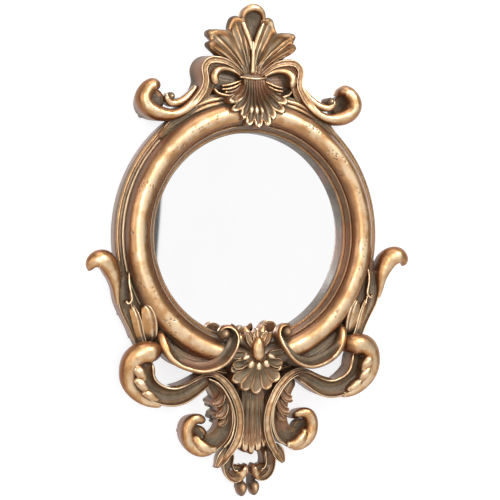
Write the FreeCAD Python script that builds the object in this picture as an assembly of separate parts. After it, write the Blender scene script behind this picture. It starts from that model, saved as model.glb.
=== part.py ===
import FreeCAD, Part
import os
from math import cos, hypot, radians, sin, sqrt

# Round wall mirror with a carved and gilded frame, in millimetres.
# X runs to the right, Z up, and Y back into the wall; the wall is the plane Y = 0.
# Everything is drawn round the middle of the ring, with depths measured out from the
# wall, and is moved at the end so that the keyhole it hangs by is at the origin.

Vec = FreeCAD.Vector

# Ring moulding: radii, then depths out from the wall.
SIGHT_R = 116.5
RING_WIDTH = 44.0
RING_R = SIGHT_R + RING_WIDTH
LIP_DEPTH = 26.0
FILLET_DEPTH = 33.0
EDGE_DEPTH = 22.5
LIST_RISE = 2.0
TORUS_R = 13.8
TORUS_DEPTH = 28.0
BACK_CHAMFER = 4.0

# Glazing: the glass lies on a ledge behind the sight edge, a board closes the back.
LEDGE = 5.5
GLASS_GAP = 0.8
GLASS_T = 4.0
BOARD_T = 6.0
BUTTON_STEP = 5.0
STEP_WIDTH = 14.0
GLASS_FRONT = BUTTON_STEP + BOARD_T + GLASS_T
RABBET_R = SIGHT_R + LEDGE
GLASS_R = RABBET_R - GLASS_GAP
STEP_R = RABBET_R + STEP_WIDTH

# Turn buttons on the step and the screws they turn on.
BUTTON_COUNT = 4
BUTTON_W = 9.0
BUTTON_T = 1.5
BUTTON_GRIP = 8.0
PIVOT_INSET = 6.5
PIVOT_R = 1.6
PIVOT_PLAY = 0.08
HEAD_R = 3.2
HEAD_T = 1.8
HEAD_PLAY = 0.1
PIVOT_BITE = 9.0

# Keyhole plate let into the back, across the joint of ring and crest.
PLATE_W = 18.0
PLATE_T = 1.5
PLATE_LOW = 17.0
PLATE_HIGH = 32.0
KEY_R = 4.75
SLOT_R = 2.5
KEY_RISE = 7.0
SLOT_LEN = 10.0
POCKET_DEPTH = 9.0
POCKET_MARGIN = 1.5
LET_IN_GAP = 0.15

# Sawn grounds behind the carvings.
GROUND_T = 14.0
GROUND_INSET = 1.2
APRON_INSET = 4.5
EDGE_MIN = 1.5
GLUE_GAP = 0.15
BAND_W = 8.0
CREST_SPAN = 40.0
APRON_SPAN = 62.0

# Dowels and screws that hold the grounds and the carvings.
DOWEL_R = 3.0
DOWEL_LEN = 22.0
DOWEL_DEPTH = 8.0
DOWEL_END = 1.0
SCREW_R = 1.5
SCREW_HEAD_R = 3.0
SCREW_BITE = 7.0
HOLE_PLAY = 0.05

# Carving fronts, across the piece from one edge to the other: share of the half
# width, then depth below the piece's own front.
ROLL = ((1.0, 3.0), (0.7, 1.2), (0.35, 0.3), (0.0, 0.0), (-0.35, 0.3), (-0.7, 1.2), (-1.0, 3.0))
TROUGH = ((1.0, 2.5), (0.8, 0.0), (0.5, 4.5), (0.0, 7.5), (-0.5, 4.5), (-0.8, 0.0), (-1.0, 2.5))
COVE = ((1.0, 3.5), (0.5, 0.8), (0.0, 0.0), (-0.25, 5.0), (-0.5, 10.0), (-0.75, 13.5), (-1.0, 15.0))
COMB = (
    (1.0, 3.0), (0.72, 0.2), (0.48, 1.8), (0.24, 0.0), (0.0, 1.6), (-0.24, 0.0), (-0.48, 1.8),
    (-0.72, 0.2), (-1.0, 3.0),
)
FIELD = ((1.0, 2.0), (0.6, 0.5), (0.0, 0.0), (-0.6, 0.5), (-1.0, 2.0))
LEAF = ((1.0, 6.0), (0.7, 2.6), (0.35, 1.4), (0.0, 0.0), (-0.35, 1.4), (-0.7, 2.6), (-1.0, 6.0))

# The carvings are drawn for the right half around a ring of this outer radius.
# Each station: x, z, width left of the line, width right of it, front above the ground.
DRAWN_R = 160.5
SCALE = RING_R / DRAWN_R

CREST_SCROLL = (
    (17, 186.5, 3.0, 3.0, 14), (26, 193.5, 4.2, 4.0, 15), (42, 197.5, 5.0, 4.6, 15),
    (55, 195.5, 5.6, 4.8, 15), (60.5, 187.5, 5.6, 4.8, 15), (58.5, 176, 5.4, 4.8, 15),
    (61, 164, 5.2, 4.8, 16), (68.5, 152.5, 5.0, 5.0, 17), (78, 143.5, 5.0, 5.0, 18),
    (90, 136, 5.2, 5.0, 19), (104, 132, 6.0, 4.8, 20), (118, 132, 6.6, 4.2, 20),
    (129.5, 138, 6.8, 3.8, 20), (134.5, 150, 6.8, 3.8, 20), (131, 161.5, 6.2, 4.0, 19),
    (122.5, 167.5, 5.2, 4.2, 19), (114.5, 167.5, 4.2, 4.2, 19), (109.5, 163.5, 3.2, 3.2, 18),
)
CREST_CURL = (
    (65, 169, 2.2, 2.2, 10), (73, 159.5, 3.0, 3.0, 12), (83, 151.3, 3.5, 3.5, 13),
    (94, 146.5, 3.5, 3.5, 14), (102, 148.6, 3.4, 3.4, 15), (104, 154.6, 3.2, 3.2, 15),
    (99.5, 158.6, 2.8, 2.8, 14), (95.5, 156, 2.2, 2.2, 13),
)
EAR_TOP = (
    (18, 180, 2.6, 2.6, 16), (25, 184, 3.2, 3.6, 18), (34, 186.5, 3.4, 4.2, 19),
    (42.5, 184.5, 3.4, 4.4, 20), (47, 178.5, 3.2, 3.8, 19), (44, 172.5, 3.0, 3.0, 17),
    (39, 173.5, 2.4, 2.4, 15),
)
EAR_LOW = (
    (48, 168, 2.2, 2.2, 12), (41.5, 164, 2.6, 3.6, 14), (33.5, 163, 2.8, 4.2, 15),
    (27, 166, 2.6, 3.8, 15), (22.5, 171.5, 2.2, 2.4, 14),
)
FEATHER = (
    (41, 151.5, 5.0, 5.0, 15), (51, 149.5, 7.0, 7.0, 17), (64, 144, 7.5, 7.5, 17),
    (79, 135.5, 7.0, 7.0, 16), (93, 125.5, 5.5, 5.5, 14.5), (104, 115.5, 3.0, 3.0, 13),
)
SIDE_STEM = (
    (138.5, -114, 3.4, 3.4, 15), (143.5, -100, 6.2, 5.0, 16), (148.8, -88, 7.6, 6.0, 17),
    (153, -76, 8.4, 7.2, 18), (154.6, -63, 8.6, 8.0, 18), (154.4, -50, 7.0, 7.0, 17),
    (152.4, -39, 4.4, 4.4, 15),
)
SIDE_ROLL = (
    (160.5, -76, 1.6, 1.4, 19), (162.8, -66, 3.4, 2.8, 21), (164.2, -56, 5.6, 4.2, 23),
    (166.6, -46, 8.6, 6.0, 25), (171, -36.5, 11.5, 7.8, 27), (178, -28.5, 14.0, 8.0, 29),
    (186.5, -26.5, 11.0, 7.6, 29), (192.3, -31, 7.0, 5.4, 26), (193.6, -37.5, 3.4, 3.2, 23),
)
SIDE_ROLL_LIFTS = (0.0, 0.0, 0.0, 0.0, 2.0, 7.0, 12.0, 14.0, 14.0)
SIDE_FIELD = (
    (157, -26, 2.6, 2.6, 10), (154.5, -42, 5.0, 5.0, 11), (149, -60, 7.0, 7.0, 12),
    (142, -77, 7.5, 7.5, 12), (133.5, -93, 7.5, 7.5, 12), (124.5, -107, 5.5, 5.5, 12),
)
BUD_LEAF = (
    (121, -116, 3.5, 3.5, 16), (124.5, -104, 6.5, 6.0, 20), (127, -90, 7.0, 7.0, 22),
    (129, -79, 4.5, 4.5, 20), (130, -73.5, 2.0, 2.0, 17),
)
CRADLE = (
    (112, -103, 3.5, 3.5, 20), (111, -118, 4.5, 7.0, 27), (105.5, -130, 4.8, 9.0, 30),
    (96, -140, 5.0, 10.0, 32), (82, -147, 5.0, 10.0, 35), (66, -150, 5.0, 10.0, 38),
    (52, -147, 5.0, 9.0, 40), (41, -140, 5.0, 9.0, 41), (32.5, -130, 4.8, 8.5, 41),
    (27.5, -121, 4.5, 7.0, 39), (26, -112, 4.2, 5.0, 35), (29, -105.5, 4.0, 3.5, 32),
    (35.5, -102.5, 3.6, 3.0, 30), (42, -104.5, 3.0, 2.6, 28), (44.5, -109.5, 2.4, 2.2, 26),
)
CRADLE_FIELD = (
    (115, -109, 3.0, 3.0, 13), (106, -121, 6.5, 6.5, 15), (92, -133, 8.5, 8.5, 16),
    (75, -141.5, 9.0, 9.0, 17), (58, -143, 8.5, 8.5, 18), (45, -139, 6.0, 6.0, 19),
)
FOOT = (
    (61, -161.5, 6.0, 8.0, 27), (72, -169, 9.0, 10.5, 26), (84, -175.5, 10.5, 11.0, 25),
    (97, -178.5, 10.5, 10.5, 24.5), (111, -177, 12.5, 9.5, 24), (125, -170.5, 13.5, 11.0, 24),
    (135.5, -161, 14.5, 9.5, 25), (141, -149, 15.0, 8.0, 26), (141, -137, 13.0, 7.0, 27),
    (138, -127, 9.0, 6.0, 27),
)
KNOB = (
    (115, -133.5, 5.0, 5.0, 28), (121, -129.5, 9.0, 8.5, 32), (130, -127.2, 11.0, 10.5, 34),
    (139.5, -129, 11.6, 11.0, 33), (147.5, -136.5, 11.0, 9.5, 31), (151.8, -147.5, 8.6, 7.5, 28),
    (150.8, -159, 7.4, 6.4, 26), (145, -169.5, 6.4, 5.6, 25), (135.5, -178, 5.4, 5.0, 24.5),
    (124, -183.4, 4.2, 4.2, 24), (112, -186, 2.6, 2.8, 23),
)
STRIP = (
    (56, -158.5, 4.0, 4.0, 20), (44, -162, 4.6, 4.6, 20), (34.5, -168.5, 4.8, 4.8, 19),
    (26, -178.5, 4.8, 4.8, 19), (20, -191, 4.6, 4.6, 18), (17, -204, 4.5, 4.5, 18),
    (17.5, -218, 4.5, 4.5, 17), (21, -231, 4.8, 4.8, 16), (28, -243, 5.6, 5.6, 16),
    (36, -253, 6.0, 6.0, 17), (42, -262, 2.4, 2.4, 18),
)
PENDANT = (
    (51.5, -170, 4.5, 4.5, 17), (42.5, -178.5, 6.4, 6.5, 18), (36, -190, 7.6, 8.5, 18),
    (32.5, -203, 7.8, 8.0, 18), (31.5, -215, 7.4, 6.5, 18), (34.5, -227, 6.5, 6.0, 18),
    (42, -236.5, 6.0, 5.5, 18), (54, -242, 6.0, 5.2, 18), (65.5, -241.5, 6.4, 4.8, 17),
    (74.5, -235, 6.6, 4.6, 17), (79.2, -225, 6.6, 4.6, 16), (78, -213.8, 6.2, 4.6, 15),
    (71.5, -206.5, 5.4, 4.4, 15), (64, -204, 4.6, 4.2, 15), (57.5, -207.5, 3.2, 3.2, 14),
)
PENDANT_CURLS = (
    ((40, -183, 2.0, 2.0, 12), (40, -189.5, 3.0, 3.0, 14), (44, -193.6, 3.4, 3.4, 14.5),
     (48.6, -192.2, 3.0, 3.0, 14), (50, -188.4, 2.2, 2.2, 13)),
    ((36.5, -197.5, 2.0, 2.0, 12), (38, -204, 3.0, 3.0, 14), (42.8, -206.8, 3.4, 3.4, 14.5),
     (47.4, -205, 3.0, 3.0, 14), (49, -201.4, 2.2, 2.2, 13)),
)
TAIL = (
    (21, -246, 5.5, 5.0, 14), (22.3, -255, 6.4, 6.4, 15), (23, -264, 6.8, 6.2, 16),
    (20.8, -271, 6.4, 5.6, 16), (14.8, -275, 6.0, 5.2, 16), (8.4, -272.2, 5.0, 4.6, 16.5),
    (6.6, -266.5, 4.4, 3.8, 16.5), (9.8, -262.8, 2.6, 2.6, 15),
)

# Palmette lobes, innermost first, then the middle leaf.
PALM_LOBES = (
    ((4, 196, 2.4, 2.4, 13), (6.5, 214, 3.6, 4.0, 14), (12, 230, 5.2, 5.4, 17),
     (20, 240, 5.6, 5.4, 20), (26.5, 243, 3.4, 3.4, 19)),
    ((6, 195, 2.2, 2.4, 12), (11, 212, 3.4, 3.6, 13), (19.5, 225.5, 4.4, 4.6, 16),
     (30, 232.5, 3.4, 3.4, 18)),
    ((7, 193, 2.2, 2.4, 12), (14.5, 207.5, 3.4, 3.6, 13), (26, 221, 4.4, 4.6, 16),
     (40, 229, 3.4, 3.4, 18)),
    ((8, 190.5, 2.2, 2.4, 12), (19, 203.5, 3.6, 4.0, 13), (34, 215.5, 5.4, 5.6, 17),
     (48, 222.5, 6.6, 6.6, 20), (55.5, 225, 4.6, 4.6, 19)),
    ((9, 187, 2.2, 2.4, 12), (18, 197.5, 3.4, 3.4, 13), (32, 206, 4.2, 4.2, 15),
     (44, 209.5, 4.6, 4.6, 17), (53, 211, 3.0, 3.0, 16)),
)
PALM_LEAF = (
    (0, 186, 4.0, 4.0, 17), (0, 205, 4.2, 4.2, 16), (0, 222, 6.0, 6.0, 14),
    (0, 236, 9.5, 9.5, 13), (0, 248, 13.5, 13.5, 15), (0, 256, 10.0, 10.0, 17),
    (0, 260.5, 4.5, 4.5, 15),
)

# Shell ribs that run from the waist down over the ring: foot x, foot z, half width there.
SHELL_WAIST_Z = 173.5
SHELL_SPREAD = 0.22
SHELL_RISE = 5.0
SHELL_FEET = ((0, 124, 6.0), (13.5, 126.5, 6.0), (22.5, 134, 5.5), (31, 141, 5.0), (35.5, 149, 4.0))
COLLAR_AT = (0.0, 179.0)
COLLAR_HALF_W = 17.0
COLLAR_HALF_H = 6.0
COLLAR_RISE = 17.0

# Rosette: lower shell lobes as tip x, tip z, half width; petals likewise.
ROSETTE_HEART_Z = -140.0
ROSETTE_SPREAD = 0.3
ROSETTE_RISE = 22.0
ROSETTE_TIPS = ((0, -178, 5.5), (11.5, -175.5, 5.5), (20.5, -169, 5.2), (26.5, -160, 5.0), (28, -151, 4.0))
PETAL_ROOT_Z = -122.0
PETAL_TIPS = ((0, -106.5, 4.2), (9, -108.5, 4.2), (17.5, -113, 3.8))
PETAL_RISE = 5.0
BUD_AT = (0.0, -127.5)
BUD_HALF_W = 7.6
BUD_HALF_H = 14.0
BUD_RISE = 8.0

# Turned and modelled drops.
BEAD_R = 6.0
BEAD_AT = (38.0, -110.0)
BEAD_RISE = 3.0
DROP_HALF_W = 7.0
DROP_HALF_H = 9.5
DROP_AT = (7.6, -290.5)
DROP_RISE = 7.0

# Fluted stem between the pendant scrolls: z, half width, front above the ground.
STEM = (
    (-174, 10.0, 14), (-186, 9.0, 15), (-203, 8.6, 16), (-222, 9.4, 16), (-237, 11.8, 15), (-247, 9.0, 12),
)
STEM_REEDS = (-1, 0, 1)

# Screw places on the right half; those on the middle line are listed apart.
SCREWS_SIDE = (
    (58.5, 176), (124, 134.5), (84, 152.5), (33, 186.5), (33.5, 163.5), (30, 213.5),
    (156, -58), (149.5, -86), (124, -106), (105.5, -130), (66, -150), (97, -178.5),
    (139, -152), (132, -128), (34.5, -195), (78.6, -221), (44.5, -192.5), (43.5, -205.8),
    (17.5, -212), (23, -266), (7.6, -290), (12.8, 179),
)
SCREWS_MIDDLE = ((0, 228), (0, -168), (0, -214))

# Dowel directions round the ring, in degrees from straight up.
CREST_DOWELS = (-14.0, 14.0)
APRON_DOWELS = (-133.0, -160.0, 133.0, 160.0)


def plan(x, z):
    """Place of a drawn point: the carvings grow and shrink with the ring."""
    return x * SCALE, z * SCALE


def at(x, depth, z):
    return Vec(x, -depth, z)


def seat(x, z):
    """Depth of a carving's back at a place: the ground, or the ring's lip inside it."""
    inner = RING_R - 20.0
    reach = hypot(x, z)
    if reach >= RING_R:
        return GROUND_T
    if reach <= inner:
        return FILLET_DEPTH + 0.5
    share = (RING_R - reach) / (RING_R - inner)
    return GROUND_T + share * (FILLET_DEPTH + 0.5 - GROUND_T)


def frames(stations):
    """Place, left-hand direction and station for each point of a drawn line."""
    points = [Vec(*plan(s[0], s[1]), 0) for s in stations]
    curve = Part.BSplineCurve()
    curve.interpolate(points)
    result = []
    for point, station in zip(points, stations):
        tangent = curve.tangent(curve.parameter(point))[0]
        left = Vec(-tangent.y, tangent.x, 0)
        result.append((point, left, SCALE * station[2], SCALE * station[3], station[4]))
    return result


def spline(points):
    curve = Part.BSplineCurve()
    curve.interpolate(points)
    return curve.toShape()


def carve(stations, front, over_ring=False, lifts=None):
    """Loft a carving along its drawn line: flat back, straight sides, shaped front.

    The lifts, where a carving curls forward, raise its back off the ground.
    """
    wires = []
    for number, (point, left, wide_left, wide_right, rise) in enumerate(frames(stations)):
        back = seat(point.x, point.y) if over_ring else GROUND_T
        if lifts:
            back += lifts[number]

        def spot(share, depth):
            width = wide_left if share > 0 else wide_right
            return at(point.x + left.x * share * width, depth, point.y + left.y * share * width)

        top = GROUND_T + rise
        drop = min(1.0, (wide_left + wide_right) / 10.0)
        face = [spot(share, max(top - drop * fall, back + EDGE_MIN)) for share, fall in front]
        low_left = spot(1.0, back)
        low_right = spot(-1.0, back)
        edges = [
            Part.makeLine(low_left, face[0]),
            spline(face),
            Part.makeLine(face[-1], low_right),
            Part.makeLine(low_right, low_left),
        ]
        wires.append(Part.Wire(edges))
    return Part.makeLoft(wires, True, False)


def plan_face(stations, inset):
    """Flat outline of a carving, for the ground under it."""
    lefts = []
    rights = []
    for point, left, wide_left, wide_right, rise in frames(stations):
        wide_left = max(wide_left - inset, 1.0)
        wide_right = max(wide_right - inset, 1.0)
        lefts.append(at(point.x + left.x * wide_left, 0, point.y + left.y * wide_left))
        rights.append(at(point.x - left.x * wide_right, 0, point.y - left.y * wide_right))
    rights.reverse()
    edges = [
        spline(lefts),
        Part.makeLine(lefts[-1], rights[0]),
        spline(rights),
        Part.makeLine(rights[-1], lefts[0]),
    ]
    return Part.Face(Part.Wire(edges))


def disc_face(x, z, radius):
    px, pz = plan(x, z)
    return Part.Face(Part.Wire(Part.makeCircle(SCALE * radius, at(px, 0, pz), Vec(0, 1, 0))))


def polygon_face(points):
    corners = [at(px, 0, pz) for px, pz in (plan(x, z) for x, z in points)]
    return Part.Face(Part.makePolygon(corners + corners[:1]))


def mirrored(shape):
    return shape.mirror(Vec(0, 0, 0), Vec(1, 0, 0))


def both(shape):
    return [shape, mirrored(shape)]


def rod(x, z, radius, low, high):
    """Round bar along the depth, from one depth out to another."""
    return Part.makeCylinder(radius, high - low, at(x, low, z), Vec(0, -1, 0))


def half_egg(x, depth, z, half_w, rise, half_h):
    """Front half of an egg whose flat back lies at one depth."""
    half = Part.makeSphere(1.0, Vec(0, 0, 0), Vec(0, -1, 0), 0, 90)
    matrix = FreeCAD.Matrix()
    matrix.scale(half_w, rise, half_h)
    matrix.move(at(x, depth, z))
    return half.transformGeometry(matrix)


def slab(x0, x1, d0, d1, z0, z1):
    return Part.makeBox(x1 - x0, d1 - d0, z1 - z0, at(x0, d1, z0))


def sector(inner, outer, middle, span, low, high):
    """Part of a flat band round the ring, between two angles from straight up."""
    first = radians(middle - span)
    last = radians(middle + span)
    centre = radians(middle)

    def spot(radius, angle):
        return at(radius * sin(angle), low, radius * cos(angle))

    edges = [
        Part.Arc(spot(outer, first), spot(outer, centre), spot(outer, last)).toShape(),
        Part.makeLine(spot(outer, last), spot(inner, last)),
        Part.Arc(spot(inner, last), spot(inner, centre), spot(inner, first)).toShape(),
        Part.makeLine(spot(inner, first), spot(outer, first)),
    ]
    return Part.Face(Part.Wire(edges)).extrude(Vec(0, low - high, 0))


def body(shape):
    """Largest solid of a shape, with flush faces merged."""
    solid = max(shape.Solids, key=lambda piece: piece.Volume)
    return solid.removeSplitter()


def ring_blank():
    """The turned moulding before any hole is made in it."""
    centre_r = SIGHT_R + 0.5 * RING_WIDTH
    torus_out = Vec(centre_r + TORUS_R * cos(radians(-24)), TORUS_DEPTH + TORUS_R * sin(radians(-24)), 0)
    torus_top = Vec(centre_r, TORUS_DEPTH + TORUS_R, 0)
    torus_in = Vec(centre_r - TORUS_R * cos(radians(14)), TORUS_DEPTH + TORUS_R * sin(radians(14)), 0)
    fillet_out = Vec(torus_in.x - 0.6, FILLET_DEPTH - 0.8, 0)
    fillet_top = Vec(torus_in.x - 1.4, FILLET_DEPTH, 0)
    fillet_in = Vec(torus_in.x - 2.4, FILLET_DEPTH - 1.2, 0)
    bead_out = Vec(SIGHT_R + 3.0, LIP_DEPTH - 1.0, 0)
    bead_top = Vec(SIGHT_R + 1.3, LIP_DEPTH, 0)
    bead_in = Vec(SIGHT_R, LIP_DEPTH - 1.4, 0)
    cove_mid = Vec(bead_out.x + 0.6, 0.5 * (FILLET_DEPTH + LIP_DEPTH) - 1.2, 0)
    edge = EDGE_DEPTH
    outer_low = Vec(RING_R, edge - 1.5, 0)
    rim_mid = Vec(RING_R - 1.2, edge + 0.6, 0)
    rim_in = Vec(RING_R - 3.0, edge - 0.8, 0)
    list_mid = Vec(RING_R - 5.0, edge + LIST_RISE, 0)
    list_in = Vec(RING_R - 7.0, edge - 1.0, 0)

    def flip(point):
        return Vec(point.x, -point.y, 0)

    corners = [
        Vec(RABBET_R, GLASS_FRONT, 0),
        Vec(RABBET_R, BUTTON_STEP, 0),
        Vec(STEP_R, BUTTON_STEP, 0),
        Vec(STEP_R, 0, 0),
        Vec(RING_R - BACK_CHAMFER, 0, 0),
        Vec(RING_R, 2.0 * BACK_CHAMFER, 0),
        outer_low,
    ]
    edges = []
    for first, last in zip(corners, corners[1:]):
        edges.append(Part.makeLine(flip(first), flip(last)))
    arcs = (
        (outer_low, rim_mid, rim_in),
        (rim_in, list_mid, list_in),
    )
    for first, middle, last in arcs:
        edges.append(Part.Arc(flip(first), flip(middle), flip(last)).toShape())
    edges.append(Part.makeLine(flip(list_in), flip(torus_out)))
    edges.append(Part.Arc(flip(torus_out), flip(torus_top), flip(torus_in)).toShape())
    edges.append(Part.makeLine(flip(torus_in), flip(fillet_out)))
    edges.append(Part.Arc(flip(fillet_out), flip(fillet_top), flip(fillet_in)).toShape())
    edges.append(Part.Arc(flip(fillet_in), flip(cove_mid), flip(bead_out)).toShape())
    edges.append(Part.Arc(flip(bead_out), flip(bead_top), flip(bead_in)).toShape())
    sight_low = Vec(SIGHT_R, GLASS_FRONT, 0)
    edges.append(Part.makeLine(flip(bead_in), flip(sight_low)))
    edges.append(Part.makeLine(flip(sight_low), flip(corners[0])))
    profile = Part.Face(Part.Wire(edges))
    return profile.revolve(Vec(0, 0, 0), Vec(0, 1, 0), 360).Solids[0]


def ring_seat():
    """Plain outline of the ring, a glue line larger, that the carvings are coped to."""
    centre_r = SIGHT_R + 0.5 * RING_WIDTH
    outer = RING_R + GLUE_GAP
    torus = TORUS_R + GLUE_GAP
    shelf = EDGE_DEPTH + LIST_RISE + GLUE_GAP
    ledge = FILLET_DEPTH + GLUE_GAP
    start = Vec(centre_r + sqrt(torus ** 2 - (TORUS_DEPTH - shelf) ** 2), -shelf, 0)
    crown = Vec(centre_r, -TORUS_DEPTH - torus, 0)
    end = Vec(centre_r - sqrt(torus ** 2 - (ledge - TORUS_DEPTH) ** 2), -ledge, 0)
    edges = [
        Part.makeLine(Vec(outer, 0, 0), Vec(outer, -shelf, 0)),
        Part.makeLine(Vec(outer, -shelf, 0), start),
        Part.Arc(start, crown, end).toShape(),
        Part.makeLine(end, Vec(SIGHT_R, -ledge, 0)),
        Part.makeLine(Vec(SIGHT_R, -ledge, 0), Vec(SIGHT_R, 0, 0)),
        Part.makeLine(Vec(SIGHT_R, 0, 0), Vec(outer, 0, 0)),
    ]
    return Part.Face(Part.Wire(edges)).revolve(Vec(0, 0, 0), Vec(0, 1, 0), 360).Solids[0]


def ground(faces, span_middle, span):
    """Board sawn to the outlines of what it carries, coped to the ring."""
    band = sector(RING_R - 3.0, RING_R + BAND_W, span_middle, span, 0.0, GROUND_T)
    boards = [face.extrude(Vec(0, -GROUND_T, 0)) for face in faces]
    return body(band.multiFuse(boards).cut(SEAT))


def screw(x, z):
    """Countersunk screw from the back, through the ground into a carving."""
    head = Part.makeCone(SCREW_HEAD_R, SCREW_R, SCREW_HEAD_R - SCREW_R, at(x, 0, z), Vec(0, -1, 0))
    return head.fuse(rod(x, z, SCREW_R, 0.0, GROUND_T + SCREW_BITE)).removeSplitter()


def screw_hole(x, z):
    play = HOLE_PLAY
    top = SCREW_HEAD_R + play
    head = Part.makeCone(top, SCREW_R + play, SCREW_HEAD_R - SCREW_R, at(x, 0, z), Vec(0, -1, 0))
    return head.fuse(rod(x, z, SCREW_R + play, 0.0, GROUND_T + SCREW_BITE + DOWEL_END))


def dowel(angle, radius, half):
    turn = radians(angle)
    way = Vec(sin(turn), 0, cos(turn))
    start = way * (RING_R - half) + Vec(0, -DOWEL_DEPTH, 0)
    return Part.makeCylinder(radius, 2.0 * half, start, way)


def rib(root, tip, half, tops, low):
    """One rounded rib, narrow at the root and full near the tip, in four sections."""
    rx, rz = plan(*root)
    tx, tz = plan(*tip)
    run = hypot(tx - rx, tz - rz)
    way = Vec((tx - rx) / run, 0, (tz - rz) / run)
    left = Vec(-way.z, 0, way.x)
    wires = []
    for share, swell, crown in zip((0.0, 0.45, 0.85, 1.0), (0.6, 0.8, 1.0, 0.55), tops):
        middle = Vec(rx, 0, rz) + way * (share * run)
        wide = SCALE * swell * half
        edge_a = middle + left * wide
        edge_b = middle - left * wide
        side = Vec(0, -(crown - 0.6 * wide), 0)
        foot = Vec(0, -low, 0)
        edges = [
            Part.makeLine(edge_a + foot, edge_a + side),
            Part.Arc(edge_a + side, middle + Vec(0, -crown, 0), edge_b + side).toShape(),
            Part.makeLine(edge_b + side, edge_b + foot),
            Part.makeLine(edge_b + foot, edge_a + foot),
        ]
        wires.append(Part.Wire(edges))
    return Part.makeLoft(wires, True, False)


def fan(root_z, spread, tips, tops, low):
    """Ribs from a common waist to each tip, on both sides, joined into one piece."""
    ribs = []
    for tip_x, tip_z, half in tips:
        piece = rib((spread * tip_x, root_z), (tip_x, tip_z), half, tops, low)
        ribs.append(piece)
        if tip_x > 0:
            ribs.append(mirrored(piece))
    return ribs[0].multiFuse(ribs[1:])


def dome(place, half_w, half_h, rise):
    """Rounded boss that stands on the ground."""
    x, z = plan(*place)
    return half_egg(x, GROUND_T, z, SCALE * half_w, rise, SCALE * half_h)


RING = ring_blank()
SEAT = ring_seat()
PARTS = {}


def add(name, shape):
    PARTS[name] = shape


def add_pair(name, shape):
    add(name + "_right", shape)
    add(name + "_left", mirrored(shape))


# Plate and keyhole.
plate_low = RING_R - PLATE_LOW
plate_high = RING_R + PLATE_HIGH
key_z = RING_R + KEY_RISE
slot_z = key_z + SLOT_LEN
plate = slab(-PLATE_W / 2, PLATE_W / 2, 0, PLATE_T, plate_low, plate_high)
let_in = slab(
    -PLATE_W / 2 - LET_IN_GAP, PLATE_W / 2 + LET_IN_GAP, 0, PLATE_T,
    plate_low - LET_IN_GAP, plate_high + LET_IN_GAP,
)
keyhole = rod(0, key_z, KEY_R, -1, PLATE_T + 1)
keyhole = keyhole.fuse(rod(0, slot_z, SLOT_R, -1, PLATE_T + 1))
keyhole = keyhole.fuse(slab(-SLOT_R, SLOT_R, -1, PLATE_T + 1, key_z, slot_z))
pocket_r = KEY_R + POCKET_MARGIN
pocket = rod(0, key_z, pocket_r, 0, POCKET_DEPTH)
pocket = pocket.fuse(rod(0, slot_z, pocket_r, 0, POCKET_DEPTH))
pocket = pocket.fuse(slab(-pocket_r, pocket_r, 0, POCKET_DEPTH, key_z, slot_z))
plate_screw_z = (plate_low + 6.0, plate_high - 6.0)
plate_screws = []
plate_holes = []
for z in plate_screw_z:
    top = SCREW_HEAD_R
    grip = POCKET_DEPTH + 2.0
    cone = Part.makeCone(top, SCREW_R, PLATE_T, at(0, 0, z), Vec(0, -1, 0))
    plate_screws.append(cone.fuse(rod(0, z, SCREW_R, 0, grip)).removeSplitter())
    cone = Part.makeCone(top + HOLE_PLAY, SCREW_R + HOLE_PLAY, PLATE_T, at(0, 0, z), Vec(0, -1, 0))
    plate_holes.append(cone.fuse(rod(0, z, SCREW_R + HOLE_PLAY, 0, grip + DOWEL_END)))
back_cuts = [let_in, pocket] + plate_holes
add("keyhole_plate", body(plate.cut(keyhole).cut(Part.makeCompound(plate_holes))))
add("keyhole_plate_screws", Part.makeCompound(plate_screws))

# Dowels.
crest_dowels = [dowel(angle, DOWEL_R, DOWEL_LEN / 2) for angle in CREST_DOWELS]
apron_dowels = [dowel(angle, DOWEL_R, DOWEL_LEN / 2) for angle in APRON_DOWELS]
dowel_holes = []
for angle in CREST_DOWELS + APRON_DOWELS:
    dowel_holes.append(dowel(angle, DOWEL_R + HOLE_PLAY, DOWEL_LEN / 2 + DOWEL_END))
add("crest_dowels", Part.makeCompound(crest_dowels))
add("apron_dowels", Part.makeCompound(apron_dowels))

# Screws for the carvings.
screw_spots = [plan(x, z) for x, z in SCREWS_SIDE]
screw_spots += [(-x, z) for x, z in screw_spots]
screw_spots += [plan(x, z) for x, z in SCREWS_MIDDLE]
add("carving_screws", Part.makeCompound([screw(x, z) for x, z in screw_spots]))
screw_holes = Part.makeCompound([screw_hole(x, z) for x, z in screw_spots])

# Turn buttons: the pivot sits on the step, the tip grips the board.
pivot_reach = RABBET_R + PIVOT_INSET
grip_len = PIVOT_INSET + GLASS_GAP + BUTTON_GRIP
button_low = BUTTON_STEP - BUTTON_T
button = slab(-BUTTON_W / 2, BUTTON_W / 2, button_low, BUTTON_STEP, -grip_len + BUTTON_W / 2, 0)
button = button.fuse(rod(0, -grip_len + BUTTON_W / 2, BUTTON_W / 2, button_low, BUTTON_STEP))
button = button.fuse(rod(0, 0, BUTTON_W / 2, button_low, BUTTON_STEP))
button = body(button.cut(rod(0, 0, PIVOT_R + PIVOT_PLAY, 0, BUTTON_STEP + 1)))
head_top = button_low - HEAD_PLAY
pivot_screw = rod(0, 0, HEAD_R, head_top - HEAD_T, head_top)
pivot_screw = pivot_screw.fuse(rod(0, 0, PIVOT_R, head_top, BUTTON_STEP + PIVOT_BITE)).removeSplitter()
pivot_hole = rod(0, 0, PIVOT_R + HOLE_PLAY, BUTTON_STEP - 1, BUTTON_STEP + PIVOT_BITE + DOWEL_END)
pivot_screws = []
pivot_holes = []
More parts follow.
